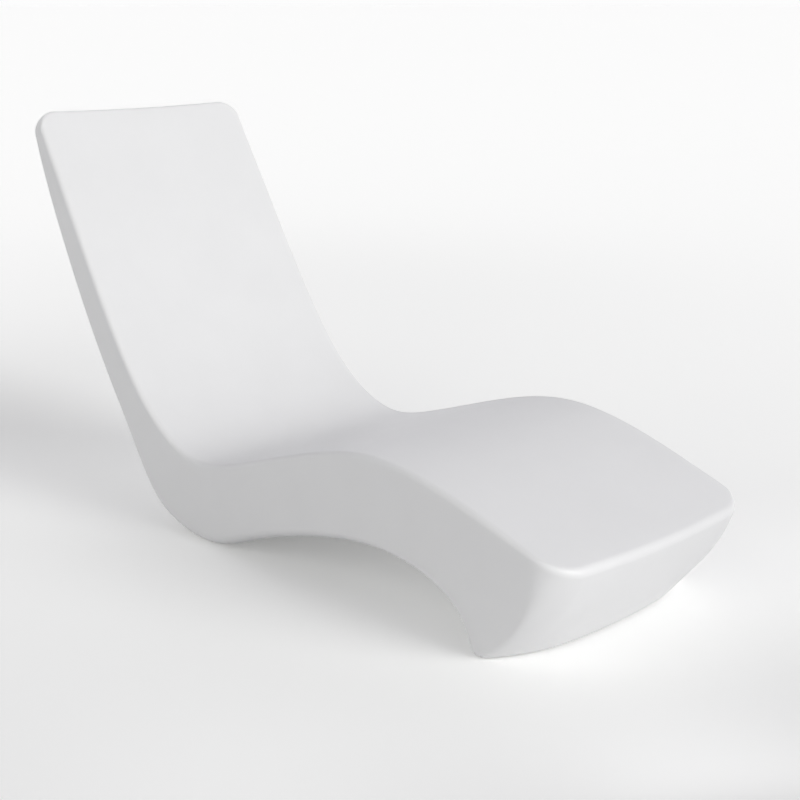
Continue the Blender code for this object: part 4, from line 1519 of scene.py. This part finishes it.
@dataclass(frozen=True)
class Studio:
    """The floor, the light round the chair and the camera."""

    camera_place: Triple = (2.4259, -2.2257, 1.2336)
    heading: float = 44.16
    drop: float = 15.37
    lens: float = 65.25
    floor_half: float = 400.0
    floor_color: Triple = (0.80, 0.80, 0.80)
    near_glow: float = 0.250
    far_glow: float = 0.204
    glow_from: float = 2.0
    glow_reach: float = 3.0
    glow_color: Triple = (0.997, 1.000, 0.982)
    # Painted shadows on the floor where the strength is below 0, behind and under the chair and before its
    # foot, and painted pools of light where it is above 0, beside its front end; the camera alone sees them
    painted_light_and_shadow_spots: tuple[PaintedLightShadePatch, ...] = (
        PaintedLightShadePatch((-1.75, 0.00), 0.70, -0.080),
        PaintedLightShadePatch((0.75, -1.00), 0.25, 0.052),
        PaintedLightShadePatch((0.75, 0.50), 0.25, 0.079),
        PaintedLightShadePatch((-2.50, 2.00), 1.10, -0.048),
        PaintedLightShadePatch((0.00, -0.25), 0.25, -0.068),
        PaintedLightShadePatch((1.25, 0.00), 0.25, -0.072),
    )
    sky_color: Triple = (0.935, 0.918, 1.000)
    sky_strength: float = 0.175
    backdrop: float = 0.98
    lamps: tuple[Lamp, ...] = (
        Lamp("key", 15.0, 22.0, 1.757, 30.0, (0.996, 1.000, 0.974)),
        Lamp("key_above", 0.0, 35.0, 0.233, 30.0, (0.994, 0.994, 1.000)),
        Lamp("key_low", 345.0, 12.0, 0.076, 30.0, (0.997, 1.000, 0.939)),
        Lamp("near_side", 270.0, 20.0, 1.124, 60.0, (0.994, 1.000, 0.959)),
        Lamp("far_side", 90.0, 20.0, 0.422, 60.0, (0.963, 0.954, 1.000)),
        Lamp("far_back", 135.0, 20.0, 0.091, 60.0, (0.871, 0.850, 1.000)),
        Lamp("back_above", 180.0, 50.0, 0.192, 60.0, (0.952, 0.940, 1.000)),
    )
    panel: Panel = Panel("foot_panel", (1.27, -0.35, 0.28), (0.80, -0.02, 0.12), 0.40, 0.225)

    def camera(self) -> None:
        """Sets the camera at the photographed viewing angle."""
        turn, fall = math.radians(self.heading), math.radians(self.drop)
        back = Vector((math.cos(turn) * math.cos(fall), -math.sin(turn) * math.cos(fall), math.sin(fall)))
        data = bpy.data.cameras.new("camera")
        data.lens = self.lens
        made = facing("camera", data, back)
        made.location = self.camera_place
        bpy.context.scene.camera = made

    def floor_glow_and_painted_shading(self, bench: Bench) -> Socket:
        """What the camera sees the floor give out: more with the distance from where the camera stands, with
        painted shadows and painted pools of light laid on it.

        Args:
            bench: The floor material's bench.

        Returns:
            The near glow, plus the far glow times 1 less e to the minus distance over reach, plus each
            patch's strength times e to the minus half the square of the distance over its radius: a painted
            shadow where the strength is below 0 and a painted pool of light where it is above.
        """
        place = bench.add("ShaderNodeTexCoord").outputs["Object"]
        away = self.distance(bench, place, self.camera_place[:2])
        beyond = bench.math("MAXIMUM", bench.math("SUBTRACT", away, self.glow_from), 0.0)
        fade = bench.math("EXPONENT", bench.math("DIVIDE", beyond, -self.glow_reach))
        total = bench.math("MULTIPLY_ADD", fade, -self.far_glow, self.near_glow + self.far_glow)
        # Painted shadows and painted pools of light on the floor
        for patch in self.painted_light_and_shadow_spots:
            share = bench.math("DIVIDE", self.distance(bench, place, patch.centre), patch.radius)
            bell = bench.math("EXPONENT", bench.math("MULTIPLY", bench.math("MULTIPLY", share, share), -0.5))
            total = bench.math("MULTIPLY_ADD", bell, patch.strength, total)
        return total

    @staticmethod
    def distance(bench: Bench, place: Socket, centre: tuple[float, float]) -> Socket:
        """How far a place on the floor is from a centre.

        Args:
            bench: The floor material's bench.
            place: The place.
            centre: The centre.

        Returns:
            The distance.
        """
        node = bench.add("ShaderNodeVectorMath", operation="DISTANCE")
        bench.feed(node.inputs[0], place)
        node.inputs[1].default_value = (*centre, 0.0)
        return node.outputs["Value"]

    @staticmethod
    def shown(bench: Bench) -> Socket:
        """Tells the rays that the camera sees, straight, in gloss or through glass, from those that light.

        Args:
            bench: The bench of the material or the world that asks.

        Returns:
            1 for a seen ray and 0 for another.
        """
        path = bench.add("ShaderNodeLightPath")
        either = bench.math("MAXIMUM", path.outputs["Is Camera Ray"], path.outputs["Is Glossy Ray"])
        return bench.math("MAXIMUM", either, path.outputs["Is Transmission Ray"])

    def floor(self) -> None:
        """Lays the pale floor, whose glow lights nothing; the glow carries painted shadows and painted pools
        of light.
        """
        sides = ((-1, -1, 0), (1, -1, 0), (1, 1, 0), (-1, 1, 0))
        corners = np.array(sides) * self.floor_half
        piece = Surface(corners, [np.array(((0, 1, 2, 3),))]).piece("floor")
        made = bpy.data.materials.new("floor")
        made.use_nodes = True
        bench = Bench(made.node_tree)
        shader = made.node_tree.nodes["Principled BSDF"]
        shader.inputs["Base Color"].default_value = (*self.floor_color, 1)
        shader.inputs["Roughness"].default_value = 1.0
        shader.inputs["Specular IOR Level"].default_value = 0.0
        seen = self.shown(bench)
        shader.inputs["Emission Color"].default_value = (*self.glow_color, 1)
        bench.feed(shader.inputs["Emission Strength"], bench.math("MULTIPLY", seen, self.floor_glow_and_painted_shading(bench)))
        piece.data.materials.append(made)

    def world(self) -> None:
        """Lights the chair from a plain sky, which is seen as a pale backdrop."""
        made = bpy.data.worlds.new("studio")
        made.use_nodes = True
        bench = Bench(made.node_tree)
        background = made.node_tree.nodes["Background"]
        seen = self.shown(bench)
        bench.feed(background.inputs["Color"], bench.blend(seen, (*self.sky_color, 1), (1, 1, 1, 1)))
        strength = bench.math("MULTIPLY_ADD", seen, self.backdrop - self.sky_strength, self.sky_strength)
        bench.feed(background.inputs["Strength"], strength)
        bpy.context.scene.world = made

    def build(self) -> None:
        """Builds the whole studio."""
        bpy.context.scene.view_settings.view_transform = "Standard"
        self.camera()
        self.floor()
        self.world()
        for lamp in (*self.lamps, self.panel):
            lamp.build()


def plug_frame(joint: dict) -> Matrix:
    """The frame of a plug's recess floor.

    Args:
        joint: The plug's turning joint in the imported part.

    Returns:
        The frame, with +Z out along the joint's axis and +Y level.
    """
    out = Vector(joint["axis"]).normalized()
    side = Vector((0, 1, 0))
    front = side.cross(out).normalized()
    matrix = Matrix((front, out.cross(front), out)).transposed().to_4x4()
    matrix.translation = joint["pos_m"]
    return matrix


def main() -> None:
    """Builds the chair's pieces and the studio round them."""
    logging.basicConfig(level=logging.INFO, format="%(name)s: %(message)s")
    shell = Shell()
    joints = {joint["name"]: joint for joint in frame["joints"]}
    plugs = (
        PlugFitting("filler", Body.FILLER_RING, Body.FILLER_SCREW, plug_frame(joints["filler_turn"])),
        PlugFitting("drain", Body.DRAIN_RING, Body.DRAIN_SCREW, plug_frame(joints["drain_turn"])),
    )
    glides = []
    for place_name in ("front_left", "front_right", "rear_left", "rear_right"):
        low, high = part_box("glide_" + place_name)
        middle = (low + high) / 2
        glides.append(GlideFitting(place_name, (middle.x, middle.y)))
    rooms = [fitting.build(shell) for fitting in (*plugs, *glides)]
    shell.build(rooms)
    Studio().build()


if __name__ == "__main__":
    main()
